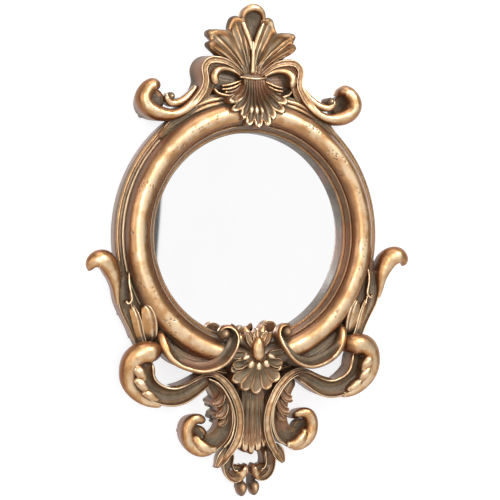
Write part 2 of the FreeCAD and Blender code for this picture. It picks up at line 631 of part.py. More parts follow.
for number in range(BUTTON_COUNT):
    angle = 360.0 / BUTTON_COUNT * (number + 0.5)
    placed = []
    for shape in (button, pivot_screw, pivot_hole):
        copy = shape.copy()
        copy.translate(Vec(0, 0, pivot_reach))
        copy.rotate(Vec(0, 0, 0), Vec(0, 1, 0), angle)
        placed.append(copy)
    add("turn_button_%d" % (number + 1), placed[0])
    pivot_screws.append(placed[1])
    pivot_holes.append(placed[2])
add("turn_button_screws", Part.makeCompound(pivot_screws))

# Glazing.
add("mirror_glass", rod(0, 0, GLASS_R, GLASS_FRONT - GLASS_T, GLASS_FRONT))
add("backing_board", rod(0, 0, GLASS_R, BUTTON_STEP, BUTTON_STEP + BOARD_T))
ring = RING.cut(Part.makeCompound(pivot_holes)).cut(Part.makeCompound(dowel_holes))
for tool in back_cuts:
    ring = ring.cut(tool)
add("frame_ring", body(ring))

# Grounds.
crest_half = [
    plan_face(CREST_SCROLL, GROUND_INSET),
    plan_face(CREST_CURL, GROUND_INSET),
    polygon_face(((0, 178), (17, 186), (42, 196), (56, 194), (59, 180), (62, 164), (72, 149), (0, 140))),
    polygon_face(((0, 168), (0, 255), (10, 250), (10, 240), (24, 241), (28, 231), (38, 227), (52, 224),
                  (50, 210), (30, 204), (15, 191), (17, 178))),
    disc_face(118, 150, 20.0),
]
apron_half = [
    plan_face(SIDE_STEM, 2.0 * GROUND_INSET),
    plan_face(BUD_LEAF, GROUND_INSET),
    plan_face(CRADLE[:8], GROUND_INSET),
    plan_face(FOOT, APRON_INSET),
    plan_face(KNOB, APRON_INSET),
    plan_face(STRIP, GROUND_INSET),
    plan_face(PENDANT, 2.0 * GROUND_INSET),
    plan_face(TAIL, GROUND_INSET),
    plan_face(PENDANT_CURLS[0], GROUND_INSET),
    plan_face(PENDANT_CURLS[1], GROUND_INSET),
    polygon_face(((0, -150), (50, -150), (56, -160), (50, -168), (34, -180), (30, -200), (24, -220),
                  (22, -240), (6, -243), (0, -243))),
    polygon_face(((120, -112), (140, -108), (146, -120), (140, -138), (122, -134))),
    disc_face(65, -222, 15.0),
    disc_face(14, -268.5, 10.0),
    disc_face(DROP_AT[0], DROP_AT[1], DROP_HALF_W - GROUND_INSET),
    polygon_face(((13, -236), (30, -239), (28, -260), (17, -260), (13, -247))),
    polygon_face(((0, -270), (12, -272), (9, -290), (0, -290))),
]
crest_board = ground(crest_half + [mirrored(face) for face in crest_half], 0.0, CREST_SPAN)
apron_board = ground(apron_half + [mirrored(face) for face in apron_half], 180.0, APRON_SPAN)
holes = Part.makeCompound(dowel_holes)
crest_cut = crest_board.cut(holes).cut(screw_holes)
for tool in back_cuts:
    crest_cut = crest_cut.cut(tool)
add("crest_ground", body(crest_cut))
add("apron_ground", body(apron_board.cut(holes).cut(screw_holes)))


def fit(shape, *others):
    """Trim a carving to the ring and its neighbours, then drill it."""
    for other in (SEAT,) + others:
        shape = shape.cut(other)
    return body(shape.cut(screw_holes))


# Crest carvings.
RING_FRONT = TORUS_DEPTH + TORUS_R
shell_tops = (
    GROUND_T + 16.0,
    RING_FRONT - 3.0,
    RING_FRONT + SHELL_RISE,
    RING_FRONT + 0.4 * SHELL_RISE,
)
collar = fit(dome(COLLAR_AT, COLLAR_HALF_W, COLLAR_HALF_H, COLLAR_RISE))
shell = fit(fan(SHELL_WAIST_Z, SHELL_SPREAD, SHELL_FEET, shell_tops, GROUND_T), collar)
lobes = [carve(PALM_LEAF, TROUGH)]
for stations in PALM_LOBES:
    lobes += both(carve(stations, ROLL))
add("crest_collar", collar)
add("crest_shell", shell)
crest_scroll = fit(carve(CREST_SCROLL, ROLL), collar)
palmette = fit(lobes[0].multiFuse(lobes[1:]), crest_scroll, mirrored(crest_scroll), collar)
add("crest_palmette", palmette)
add_pair("crest_scroll", crest_scroll)
add_pair("crest_curl", fit(carve(CREST_CURL, ROLL), crest_scroll))
add_pair("crest_ear_top", fit(carve(EAR_TOP, ROLL), collar, crest_scroll))
add_pair("crest_ear_low", fit(carve(EAR_LOW, ROLL)))
add_pair("crest_feather", fit(carve(FEATHER, COMB), crest_scroll))

# Side carvings.
knob = fit(carve(KNOB, ROLL))
bud_leaf = fit(carve(BUD_LEAF, LEAF, True), knob, apron_board)
side_leaf = carve(SIDE_STEM, TROUGH).multiFuse([
    carve(SIDE_ROLL, ROLL, lifts=SIDE_ROLL_LIFTS),
    carve(SIDE_FIELD, FIELD),
])
add_pair("bud_leaf", bud_leaf)
add_pair("side_leaf", fit(side_leaf, apron_board, knob, bud_leaf))

# Apron carvings.
cradle = fit(carve(CRADLE, COVE, True), apron_board)
bead_x, bead_z = plan(*BEAD_AT)
bead = fit(Part.makeSphere(BEAD_R, at(bead_x, FILLET_DEPTH + BEAD_RISE, bead_z)), cradle)
strip = fit(carve(STRIP, ROLL), cradle)
foot = fit(carve(FOOT, TROUGH), knob, cradle, strip)
pendant = fit(carve(PENDANT, TROUGH), strip, foot)
add_pair("foot_knob", knob)
add_pair("cradle_scroll", cradle)
add_pair("cradle_bead", bead)
add_pair("foot_scroll", foot)
add_pair("pendant_strip", strip)
add_pair("pendant_scroll", pendant)
curls = [fit(carve(stations, ROLL), pendant) for stations in PENDANT_CURLS]
add_pair("pendant_curl", Part.makeCompound(curls))
add_pair("tail_scroll", fit(carve(TAIL, ROLL), strip))
add_pair("tail_drop", fit(dome(DROP_AT, DROP_HALF_W, DROP_HALF_H, DROP_RISE)))

# Rosette.
bud_x, bud_z = plan(*BUD_AT)
bud_back = FILLET_DEPTH + 0.5
rosette_bud = fit(half_egg(bud_x, bud_back, bud_z, BUD_HALF_W, RING_FRONT + BUD_RISE - bud_back, BUD_HALF_H))
petal_tops = (RING_FRONT + PETAL_RISE, RING_FRONT + PETAL_RISE, RING_FRONT + 1.0, RING_FRONT - 2.0)
petals = fit(fan(PETAL_ROOT_Z, 0.3, PETAL_TIPS, petal_tops, FILLET_DEPTH + 0.5), rosette_bud)
fan_tops = (RING_FRONT + 3.0, RING_FRONT - 3.0, GROUND_T + ROSETTE_RISE, GROUND_T + ROSETTE_RISE - 3.0)
lower = fan(ROSETTE_HEART_Z, ROSETTE_SPREAD, ROSETTE_TIPS, fan_tops, GROUND_T)
lower = fit(lower, rosette_bud, petals, strip, mirrored(strip), cradle, mirrored(cradle))
add("rosette_bud", rosette_bud)
add("rosette_petals", petals)
add("rosette_shell", lower)

# Stem and the field in the cradle, which meet the rosette.
reeds = []
for place in STEM_REEDS:
    stations = []
    for z, half, rise in STEM:
        stations.append((place * half * 0.62, z, half * 0.4, half * 0.4, rise - abs(place)))
    reeds.append(carve(stations, ROLL))
add("pendant_stem", fit(reeds[0].multiFuse(reeds[1:]), strip, mirrored(strip), lower))
add_pair("cradle_field", fit(carve(CRADLE_FIELD, FIELD), cradle, knob, bud_leaf))

if __name__ == "__main__":
    os.makedirs("parts", exist_ok=True)
    for name, shape in PARTS.items():
        shape.translate(Vec(0, 0, -key_z))
        shape.exportStep("parts/%s.step" % name)
        print(name, len(shape.Solids), round(shape.Volume), shape.isValid())
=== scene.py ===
import math

import bmesh
import bpy
import numpy as np
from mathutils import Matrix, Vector


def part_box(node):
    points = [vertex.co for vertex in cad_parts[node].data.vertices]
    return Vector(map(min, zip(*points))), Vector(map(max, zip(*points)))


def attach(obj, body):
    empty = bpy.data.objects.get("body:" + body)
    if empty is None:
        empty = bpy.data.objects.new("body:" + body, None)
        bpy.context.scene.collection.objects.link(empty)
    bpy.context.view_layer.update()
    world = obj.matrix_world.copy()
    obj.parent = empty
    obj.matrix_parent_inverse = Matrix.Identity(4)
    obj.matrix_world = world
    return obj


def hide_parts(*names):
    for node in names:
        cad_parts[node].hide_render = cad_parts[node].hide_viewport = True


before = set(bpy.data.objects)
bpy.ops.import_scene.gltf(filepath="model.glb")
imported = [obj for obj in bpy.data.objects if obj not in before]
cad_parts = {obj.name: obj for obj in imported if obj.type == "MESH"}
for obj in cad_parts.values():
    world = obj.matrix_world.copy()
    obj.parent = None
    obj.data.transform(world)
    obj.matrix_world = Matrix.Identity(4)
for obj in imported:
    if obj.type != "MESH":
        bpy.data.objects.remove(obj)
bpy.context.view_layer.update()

# Carvings are drawn in millimetres round the middle of the ring: x right, z up and
# depth out from the wall. The keyhole at the origin of the frame is this far above it.
KEY_Z = 167.5
MM = 0.001
STEP = 1.25
GROUND = 14.0
RING_R = 160.5
SIGHT_R = 116.5
LIP = 33.0
TORUS_MID = 138.5
TORUS_R = 13.8
TORUS_DEPTH = 28.0
OUTER_R = 161.6
RABBET_R = 122.0
BUTTON_STEP_R = 136.0
GLASS_FRONT = 15.0
BOARD_BACK = 5.0
# Width of the strip at the ring's edge over which the backs of carvings climb onto it.
SEAT_RAMP = 20.0
# Widest a carving may be inside a bend, as a share of the bend's radius.
TIGHTEST = 0.92
# Most that a side wall leans in, as a share of the carving's width.
LEAN_MOST = 0.36
WALL_FALLS = np.array([0.12, 0.4, 0.72, 1.0])
DOME_RINGS, DOME_AROUND = 12, 36
LOBE_COLUMNS, LOBE_ROWS = 14, 28
VEIN_RISE = 0.6
SHARP_EDGE = math.radians(55.0)
RING_AROUND = 720
WORM_GROUPS = 46
WORM_DEPTH = 0.9


# Shapes

def unit(value):
    """Value kept between 0 and 1."""
    return np.clip(value, 0.0, 1.0)


def spline(stations, step):
    """Natural cubic spline through the stations, sampled at an even step."""
    rows = np.asarray(stations, float)
    count = len(rows)
    gaps = np.hypot(*np.diff(rows[:, :2], axis=0).T)
    knots = np.concatenate(([0.0], np.cumsum(gaps)))
    system = np.eye(count)
    right = np.zeros_like(rows)
    for i in range(1, count - 1):
        system[i, i - 1:i + 2] = gaps[i - 1], 2.0 * (gaps[i - 1] + gaps[i]), gaps[i]
        right[i] = 6.0 * ((rows[i + 1] - rows[i]) / gaps[i] - (rows[i] - rows[i - 1]) / gaps[i - 1])
    bend = np.linalg.solve(system, right)

    def value(places):
        i = np.clip(np.searchsorted(knots, places) - 1, 0, count - 2)
        gap = gaps[i][:, None]
        a = (knots[i + 1] - places)[:, None] / gap
        b = 1.0 - a
        cubic = (a ** 3 - a) * bend[i] + (b ** 3 - b) * bend[i + 1]
        return a * rows[i] + b * rows[i + 1] + cubic * gap ** 2 / 6.0

    fine_at = np.linspace(0.0, knots[-1], 40 * count)
    fine = value(fine_at)
    run = np.concatenate(([0.0], np.cumsum(np.hypot(*np.diff(fine[:, :2], axis=0).T))))
    number = max(10, int(run[-1] / step))
    places = np.interp(np.linspace(0.0, run[-1], number + 1), run, fine_at)
    return value(places), run[-1]


def both_widths(stations):
    """Stations with a width for each side, also where one width is given for both."""
    return [row if len(row) == 5 else row[:3] + row[2:] for row in stations]


def seat(x, z):
    """Depth at which a carving's back is buried: the ground, or the lip of the ring."""
    share = unit((RING_R - np.hypot(x, z)) / SEAT_RAMP)
    return GROUND - 1.0 + share * (LIP - GROUND + 1.0)


def hand(x, z):
    """Small unevenness of a hand-cut surface."""
    slow = np.sin(0.19 * x + 0.11 * z + 1.3) * np.sin(0.17 * z - 0.07 * x + 0.4)
    quick = np.sin(0.61 * x + 0.23 * z) * np.sin(0.53 * z - 0.31 * x + 2.1)
    return 0.14 * slow + 0.08 * quick


def bend_of(points, close_rows):
    """How far each point of a grid stands proud of its neighbours, as a curvature."""
    def shift(array, rows, columns):
        moved = np.roll(array, columns, axis=1)
        if close_rows:
            return np.roll(moved, rows, axis=0)
        index = np.clip(np.arange(len(array)) - rows, 0, len(array) - 1)
        return moved[index]

    ahead, behind = shift(points, -1, 0), shift(points, 1, 0)
    above, below = shift(points, 0, -1), shift(points, 0, 1)
    normal = np.cross(ahead - behind, above - below)
    length = np.linalg.norm(normal, axis=2, keepdims=True)
    normal = normal / np.maximum(length, 1e-9)
    total = 0.0
    for one, two in ((ahead, behind), (above, below)):
        span = np.sum((one - two) ** 2, axis=2) * 0.25 + 0.25
        rise = np.sum((0.5 * (one + two) - points) * normal, axis=2)
        total = total - 2.0 * rise / span
    total = np.clip(total, -1.5, 1.5)
    soft = total
    for _ in range(2):
        soft = 0.5 * soft + 0.25 * (shift(soft, 0, 1) + shift(soft, 0, -1))
    return soft


def grid_faces(rows, columns, close_rows):
    """Quads of a grid whose columns run round, with caps at its ends if it is open."""
    faces = []
    last = rows if close_rows else rows - 1
    for i in range(last):
        low, high = i * columns, ((i + 1) % rows) * columns
        for j in range(columns):
            k = (j + 1) % columns
            faces.append((low + j, low + k, high + k, high + j))
    if not close_rows:
        faces.append(tuple(range(columns - 1, -1, -1)))
        faces.append(tuple(range((rows - 1) * columns, rows * columns)))
    return faces


def sweep(stations, profile, across=23, ends=(1.0, 1.0), flare=-1.0, lift=0.0, dull=0.0, cup=False):
    """Closed carving along a line: shaped front, sides that lean in or out, flat back.

    Each station is x, z, width on the left, width on the right, depth of the front, or has
    one width for both sides. The flare is how far the sides reach out at the back, the lift
    how far the back is raised, each one number or one per station. A dull carving keeps more
    dirt and painted shade, and a negative dull gives it more painted highlight. A cup's rim
    runs on round its tip.
    """
    count = len(stations)
    extra = np.stack([np.broadcast_to(flare, count), np.broadcast_to(lift, count)], axis=1)
    line, length = spline(np.concatenate([np.asarray(both_widths(stations), float), extra], axis=1), STEP)
    x, z, left_w, right_w, top, flare, lift = line.T
    run = np.linspace(0.0, length, len(x))
    dx, dz = np.gradient(x), np.gradient(z)
    speed = np.hypot(dx, dz)
    side_x, side_z = -dz / speed, dx / speed
    turn = (dx * np.gradient(dz) - dz * np.gradient(dx)) / speed ** 3
    left_w = np.clip(left_w, 0.4, TIGHTEST / np.maximum(turn, 1e-4))
    right_w = np.clip(right_w, 0.4, TIGHTEST / np.maximum(-turn, 1e-4))
    cap = np.ones_like(run)
    for reach, away, first in ((ends[0], run, 0), (ends[1], length - run, -1)):
        if reach > 0.0:
            share = unit(away / min(reach * (left_w + right_w)[first], 0.45 * length))
            cap = cap * np.sqrt(np.clip(1.0 - (1.0 - share) ** 2, 0.01, 1.0))
    cap = cap[:, None]
    t = np.sin(np.linspace(0.5, -0.5, across) * math.pi)[None, :]
    width = np.where(t > 0.0, left_w[:, None], right_w[:, None])
    drop = profile(t, width, (run / length)[:, None], run[:, None])
    if cup:
        drop = drop * cap ** 2
    foot = (seat(x, z) + lift)[:, None]
    crown = np.maximum(top[:, None] - drop, foot + 0.6)
    low = foot + 0.45 * np.maximum(top[:, None] - foot, 1.0)
    crown = np.where(crown > low, low + (crown - low) * cap ** (0.3 if cup else 1.0), crown)
    offset = t * width * cap
    px = x[:, None] + side_x[:, None] * offset
    pz = z[:, None] + side_z[:, None] * offset
    crown = crown + hand(px, pz)
    columns = [np.stack([px, crown, pz], axis=2)]
    for edge, falls_here in ((-1, WALL_FALLS), (0, WALL_FALLS[::-1])):
        reach = offset[:, edge][:, None]
        lean = np.maximum(flare, -LEAN_MOST * (left_w + right_w))[:, None] * falls_here ** 1.5
        outward = reach + np.sign(reach) * lean * cap
        deep = crown[:, edge][:, None] + (foot - crown[:, edge][:, None]) * falls_here
        wall_x = x[:, None] + side_x[:, None] * outward
        wall_z = z[:, None] + side_z[:, None] * outward
        columns.append(np.stack([wall_x, deep, wall_z], axis=2))
    points = np.concatenate(columns, axis=1)
    wear_and_shade = bend_of(points, False) - dull
    # Hollow fronts darken where they sink: dirt and painted shade.
    if profile in HOLLOW:
        wear_and_shade[:, :across] -= HOLLOW_DIRT_AND_SHADE * unit(drop / 5.0)
    return points.reshape(-1, 3), grid_faces(*points.shape[:2], False), wear_and_shade.ravel()


def dome(x, z, half_w, half_h, top, rim, tilt=0.0, pull=0.0, dull=0.0, lift=0.0):
    """Closed boss, or a dish if its top is below its rim, on an oval outline."""
    share = np.sin(np.linspace(0.06, 1.0, DOME_RINGS) * 0.5 * math.pi)[:, None]
    angle = np.linspace(0.0, 2.0 * math.pi, DOME_AROUND, endpoint=False)[None, :]
    u = share * np.cos(angle) * half_w
    v = share * np.sin(angle) * half_h
    u = u * (1.0 - pull * v / half_h)
    turn = math.radians(tilt)
    px = x + u * math.cos(turn) - v * math.sin(turn)
    pz = z + u * math.sin(turn) + v * math.cos(turn)
    depth = rim + (top - rim) * np.sqrt(unit(1.0 - share ** 2)) + hand(px, pz)
    front = np.stack([px, depth, pz], axis=2)
    wall = front[-1:].copy()
    wall[:, :, 1] = float(seat(x, z)) + lift
    points = np.concatenate([front, wall], axis=0)
    wear_and_shade = bend_of(points, False) - dull
    return points.reshape(-1, 3), grid_faces(*points.shape[:2], False), wear_and_shade.ravel()


def fan_leaf(root, outline, tops, bow=1.0, hollow=2.4, ridge=1.2, rim=1.2, lift=0.0, dull=0.1, step=0.0,
             veins=0):
    """Leaf of several hollow lobes that fan from a short root, with ridges or grooves between them.

    The root is its first x, its last x and its z. The outline lists a notch, a tip, a notch,
    a tip and so on. The depths of the front are at the root, at 0.4 and 0.75 of the way and at
    the tip. The higher the bow, the later the lobes part. A ridge below zero is a groove. With a
    step, each lobe starts that much in front of the end of the one before it. The veins are
    fine ripples across each lobe.
    """
    places = np.asarray(outline, float)
    notches, tips = places[0::2], places[1::2]
    lobes = len(tips)
    part = np.linspace(0.0, lobes, LOBE_COLUMNS * lobes + 1)
    lobe_at = np.minimum(part.astype(int), lobes - 1)
    p = (part - lobe_at)[:, None]
    first, last = notches[lobe_at], notches[lobe_at + 1]
    swell = np.sin(math.pi * p) ** 0.7
    edge = (1.0 - p) * first + p * last + (tips[lobe_at] - 0.5 * (first + last)) * swell
    share = np.linspace(0.0, 1.0, LOBE_ROWS)[None, :]
    root_x = (root[0] + (root[1] - root[0]) * part / lobes)[:, None]
    px = root_x + (edge[:, :1] - root_x) * share ** bow
    pz = root[2] + (edge[:, 1:] - root[2]) * share
    valley = np.sin(math.pi * p)
    line = np.exp(-(np.minimum(p, 1.0 - p) / 0.11) ** 2)
    brim = np.exp(-((share - 0.94) / 0.05) ** 2) * unit(2.0 * valley)
    depth = np.polyval(np.polyfit((0.0, 0.4, 0.75, 1.0), tops, 3), share)
    depth = depth - hollow * valley ** 0.8 * ease(share, 0.02, 0.5) * (1.0 - 0.8 * ease(share, 0.84, 0.97))
    depth = depth + ridge * line * (1.0 - 2.2 * ease(share, 0.7, 1.0)) + rim * brim
    depth = depth + step * (0.5 - p) * ease(share, 0.05, 0.45)
    if veins:
        ripple = VEIN_RISE * np.cos(2.0 * math.pi * veins * p)
        depth = depth + ripple * ease(share, 0.05, 0.4) * (1.0 - brim)
    depth = depth - 1.4 * ease(share, 0.965, 1.0) + 1.6 * hand(px, pz)
    front = np.stack([px, depth, pz], axis=2)
    back = front[:, [-1, 0]].copy()
    back[:, :, 1] = seat(back[:, :, 0], back[:, :, 2])
    back[:, 0, 1] += lift
    points = np.concatenate([front, back], axis=1)
    wear_and_shade = bend_of(points, False) - dull
    # Painted highlight on the turned-up brims; dirt and painted shade in the hollow of each lobe.
    wear_and_shade[:, :share.size] += 0.3 * brim - 0.3 * valley * (1.0 - brim)
    return points.reshape(-1, 3), grid_faces(*points.shape[:2], False), wear_and_shade.ravel()


def both_ways(half):
    """Outline of a whole leaf from its right half, which starts at the middle tip."""
    left = [(-x, z) for x, z in half[:0:-1]]
    return left + list(half)


def mirrored(shell):
    """The same shell on the other side."""
    points, faces, wear_and_shade = shell
    return points * (-1.0, 1.0, 1.0), [face[::-1] for face in faces], wear_and_shade


# Carving fronts: how far the surface lies below the piece's own front, across the piece.
# Each takes the place across from 1 on the left to -1, the width there, the share of the way
# along and the way along in millimetres.

def ease(value, low, high):
    """Smooth step from 0 to 1 between two values."""
    share = unit((value - low) / (high - low))
    return share * share * (3.0 - 2.0 * share)


def roll(t, width, share, run):
    """Full round roll."""
    return 0.85 * width * (1.0 - np.sqrt(1.0 - 0.98 * t ** 2))


def rims(t):
    """Two thin rounded rims, one along each edge."""
    return 0.8 * np.clip((np.abs(t) - 0.86) / 0.14, -1.0, 1.0) ** 2


def trough(t, width, share, run):
    """Deep hollow between two rims."""
    hollow = unit(1.0 - (np.abs(t) / 0.82) ** 2) ** 0.75
    return rims(t) + np.minimum(0.62 * width, 6.5) * hollow


def combed_trough(t, width, share, run):
    """Trough with faint ridges along it."""
    return trough(t, width, share, run) + 0.22 * np.sin(16.0 * t) * unit(1.0 - t ** 2)


def strap(t, width, share, run):
    """Flat band, slightly hollow, with two thin rims."""
    return rims(t) + 1.7 * unit(1.0 - (t / 0.76) ** 2) ** 0.8


def horn(t, width, share, run):
    """Flat band with raised edges that turns into a full roll."""
    band = 1.6 * unit(1.0 - (t / 0.62) ** 2)
    band = band + 2.2 * unit((np.abs(t) - 0.72) / 0.28) ** 2
    round_off = 1.1 * width * (1.0 - np.sqrt(1.0 - 0.98 * t ** 2))
    late = ease(share, 0.42, 0.62)
    return band * (1.0 - late) + round_off * late


def cove(t, width, share, run):
    """Rim along the left edge that falls into a hollow on the right."""
    rim = 2.2 * unit(t) ** 2.2
    return rim + 12.0 * ease(-t, 0.08, 0.62) + 1.5 * unit(-t - 0.6)


def cradle_front(t, width, share, run):
    """Roll on the outer branch that thins to a rim over a hollow."""
    late = ease(share, 0.12, 0.30)
    return roll(t, width, share, run) * (1.0 - late) + cove(t, width, share, run) * late


def combed(t, width, share, run):
    """Field of fine ridges that run along the piece."""
    return 0.55 * np.abs(np.sin(8.5 * t + 0.8 * np.sin(run * 0.06))) + 1.6 * t ** 2


def leaf(t, width, share, run):
    """Low midrib, hollow cheeks and thin turned-up edges."""
    cheek = 0.26 * width * np.sin(np.pi * unit(np.abs(t) / 0.86))
    return cheek + rims(t)


def blade(t, width, share, run):
    """Leaf blade: thin rim along the left edge, then a soft slope to the right."""
    slope = 4.6 * unit((0.74 - t) / 1.74) ** 1.2
    gully = 1.3 * np.exp(-((t - 0.48) / 0.17) ** 2)
    return 1.2 * unit((t - 0.82) / 0.18) ** 2 + slope + gully


def open_trough(t, width, share, run):
    """Trough with a rim along the right edge only."""
    hollow = 6.0 * unit(1.0 - ((t - 0.12) / 0.94) ** 2)
    rim = 0.8 * np.clip((-t - 0.86) / 0.14, -1.0, 1.0) ** 2 * (t < 0.0)
    return hollow + rim + 1.5 * unit(t) ** 3


def tail_front(t, width, share, run):
    """Trough that closes to a roll at its end."""
    late = ease(share, 0.62, 0.78)
    return trough(t, width, share, run) * (1.0 - late) + roll(t, width, share, run) * late


HOLLOW = (trough, combed_trough, open_trough, cove, cradle_front, leaf, tail_front)
# How far hollow fronts darken where they sink: dirt and painted shade.
HOLLOW_DIRT_AND_SHADE = 0.42


# Ring

def ring_shell():
    """Turned moulding with its rabbet, slightly uneven and pitted by worm."""
    def arc(mid_r, mid_d, radius, first, last, count):
        angles = np.radians(np.linspace(first, last, count))
        return [(mid_r + radius * math.cos(a), mid_d + radius * math.sin(a)) for a in angles]

    outline = [(SIGHT_R, GLASS_FRONT), (SIGHT_R, 18.0), (SIGHT_R, 21.5)]
    outline += arc(118.0, 24.4, 1.55, 175.0, 20.0, 7)
    outline += [(119.8, 26.3), (120.4, 28.4), (121.4, 30.4), (122.7, 31.8)]
    outline += arc(123.8, 32.1, 1.0, 160.0, 10.0, 6)
    outline += arc(TORUS_MID, TORUS_DEPTH, TORUS_R, 166.0, -24.0, 44)
    outline += [(151.9, 21.4), (152.8, 21.2)]
    outline += arc(156.0, 22.4, 2.1, 190.0, -5.0, 8)
    outline += [(158.6, 21.9)]
    outline += arc(160.2, 21.8, 1.4, 150.0, 0.0, 6)
    outline += [(OUTER_R, 16.0), (OUTER_R, 8.0), (158.0, 0.0), (146.0, 0.0), (BUTTON_STEP_R, 0.0)]
    outline += [(BUTTON_STEP_R, BOARD_BACK), (129.0, BOARD_BACK), (RABBET_R, BOARD_BACK)]
    outline += [(RABBET_R, 10.0), (RABBET_R, GLASS_FRONT)]
    outline = np.array(outline)
    angle = np.linspace(0.0, 2.0 * math.pi, RING_AROUND, endpoint=False)[:, None]
    radius = outline[None, :, 0]
    depth = outline[None, :, 1] + 0.0 * angle
    moulded = unit((outline[None, :, 1] - 15.5) / 4.0)
    uneven = 0.10 * np.sin(7 * angle + 1.0) + 0.05 * np.sin(19 * angle + 0.21 * radius)
    uneven = uneven + 0.025 * np.sin(43 * angle - 0.35 * radius)
    depth = depth + moulded * uneven
    points = np.stack([radius * np.sin(angle), depth, radius * np.cos(angle)], axis=2)
    on_torus = np.abs(radius - TORUS_MID) < 13.4
    # Painted shade: the torus darkens down its flanks, and the inner wall of the sight and the slope under
    # the inner fillet darken.
    wear_and_shade = bend_of(points, True) - 0.22 * ease(41.0 - points[:, :, 1], 2.0, 12.0) * on_torus
    wear_and_shade = wear_and_shade - 0.5 * (radius < 117.2) * (points[:, :, 1] < 22.5) - 0.35 * (np.abs(radius - 121.0) < 1.5)
    draw = np.random.default_rng(11)
    torus = [k for k, (r, d) in enumerate(outline) if abs(r - TORUS_MID) < 11.0 and d > 33.0]
    for _ in range(WORM_GROUPS):
        i = int(draw.integers(RING_AROUND))
        j = int(draw.choice(torus))
        for _ in range(int(draw.integers(1, 6))):
            i = (i + int(draw.integers(-7, 8))) % RING_AROUND
            j = int(np.clip(j + draw.integers(-4, 5), torus[0], torus[-1]))
            points[i, j, 1] -= WORM_DEPTH
            # Each worm hole darkens: dirt and painted shade in it.
            wear_and_shade[i, j] = -1.5
    return points.reshape(-1, 3), grid_faces(*points.shape[:2], True), wear_and_shade.ravel()


# Drawn lines, right half: x, z, width on the left, width on the right, depth of the front.
# A station of four numbers has one width for both sides. The crest first.

CREST_SCROLL = (
    (9, 180.5, 1.6, 29), (17, 186.3, 2.4, 2.6, 30), (26, 192.5, 3.2, 3.6, 31), (42, 197, 4, 4.2, 32),
    (53.5, 195.3, 4.2, 32), (59.3, 187.6, 4.2, 32), (57.8, 176, 4.2, 32), (60.4, 164, 4.4, 4.6, 32.5),
    (68.4, 152.5, 4.6, 5, 33), (77.6, 143.3, 5, 5.2, 33.5), (90, 135.8, 5.6, 5.4, 34),
    (104, 134.5, 7, 7.6, 35), (116.5, 137.4, 8.4, 9.4, 36.5), (125.5, 142.6, 9, 9.4, 37),
    (129.6, 151, 9, 9.8, 37), (127, 159.2, 8.4, 9.4, 36.5), (121, 164.6, 7, 9, 35.5),
    (115, 165.2, 5, 8.4, 34.5), (110.5, 162.2, 3.4, 6, 32.5),
)
CREST_FLARE = (0, 1, 2, 2.5, 2.5, 2.5, 2.5, 2.5, 2, 1, 0, -1.6, -1.6, -2.4, -4.7, -4.7, -4.4, -3, -2)
CREST_LIFT = (0, 0, -4) + (-11.5,) * 7 + (-10, -10, -11.5, -11.5, -6, -2, -2, 0, 0)
ARCH_INNER = (
    (14, 180.5, 1.6, 28), (27, 187.2, 3, 29), (41, 190.2, 3.4, 29.5), (49.6, 188.6, 3.4, 29.5),
    (52.4, 182.5, 3.4, 29.5), (51, 174, 3.4, 29.5), (53, 163, 3.2, 29.5), (59.5, 152, 2, 29),
)
CREST_CURL = (
    (65, 169, 2, 25), (73, 159.5, 3, 27), (83, 151, 4, 28.5), (93, 147.2, 4.6, 4.2, 30),
    (100.4, 149.2, 4.6, 4, 31), (102, 154.4, 4.4, 3.6, 31.5), (98.4, 157.2, 3.8, 3.2, 31),
)
EAR_TOP = (
    (14, 179.5, 1.2, 29.5), (21, 184, 1.6, 1.8, 31), (30, 187, 2, 2.6, 32), (39, 187, 2.8, 3.8, 34),
    (45.6, 183.2, 4.2, 4.6, 36), (48.2, 177.2, 4.6, 4.4, 37), (46, 172.2, 4, 3.6, 36.5),
    (41.8, 170.6, 2, 1.8, 34),
)
EAR_FIELD = (
    (12, 173, 4, 6, 25), (23, 173.5, 9, 12, 24.5), (35, 175, 12, 14, 24),
    (46, 178, 11, 12, 24), (56, 180, 5, 6, 24),
)
EAR_LOW = (
    (47.5, 167.5, 1.8, 2, 31), (45.5, 162, 2.2, 3, 33), (39, 158.2, 2.4, 5, 34.5),
    (30, 157.2, 2.4, 7, 35.5), (21.5, 160.5, 2.2, 6.5, 35.5), (15.5, 168, 1.8, 3.6, 35),
    (12, 174.2, 1.2, 1.6, 34),
)
EAR_RIBS = (
    ((13, 175, 0.8, 30), (20, 172.4, 1.2, 31), (29, 169.4, 1.4, 31), (39, 168, 0.9, 29.5)),
    ((13, 173.4, 0.8, 31), (19, 169, 1.2, 32), (28, 165.2, 1.4, 32), (39.5, 164, 0.9, 30.5)),
    ((13, 171.6, 0.8, 32), (18, 166, 1.2, 33), (26, 161.8, 1.4, 33), (36, 160.8, 0.9, 31.5)),
)
FEATHERS = (
    ((26, 155, 1.2, 30), (36, 154, 2.2, 31.5), (50, 151.5, 2.6, 31.5), (62, 147.5, 2.2, 31),
     (71, 142.5, 1, 29)),
    ((30, 149.5, 1.2, 32), (40, 148, 2.2, 33), (54, 144.8, 2.6, 32.5), (67, 139.5, 2, 31.5),
     (78, 133.5, 0.9, 29)),
    ((36, 143, 1.2, 35), (46, 141, 1.9, 35.5), (60, 136.5, 2.1, 34.5), (74, 130, 1.7, 33),
     (86, 122.5, 0.8, 30)),
)
CREST_FIELD = (
    (26, 152, 7, 29.5), (46, 149, 9, 29.5), (66, 142, 9.5, 29), (84, 131.5, 8, 28.5),
    (100, 119.5, 5.5, 27.5), (112, 107.5, 2.6, 26.5),
)
PALM_SIDE = ((9, 240), (23.5, 247), (29.5, 229.5), (52, 229.6), (49.5, 218.4), (54.5, 211.5), (37, 202))
PALM_LEAF = (
    (0, 190, 3.6, 27), (0, 205, 4.2, 27), (0, 222, 6, 27.5), (0, 236, 9.8, 29), (0, 248, 13.6, 31.5),
    (0, 256, 10.5, 33), (0, 260.5, 5.5, 32),
)
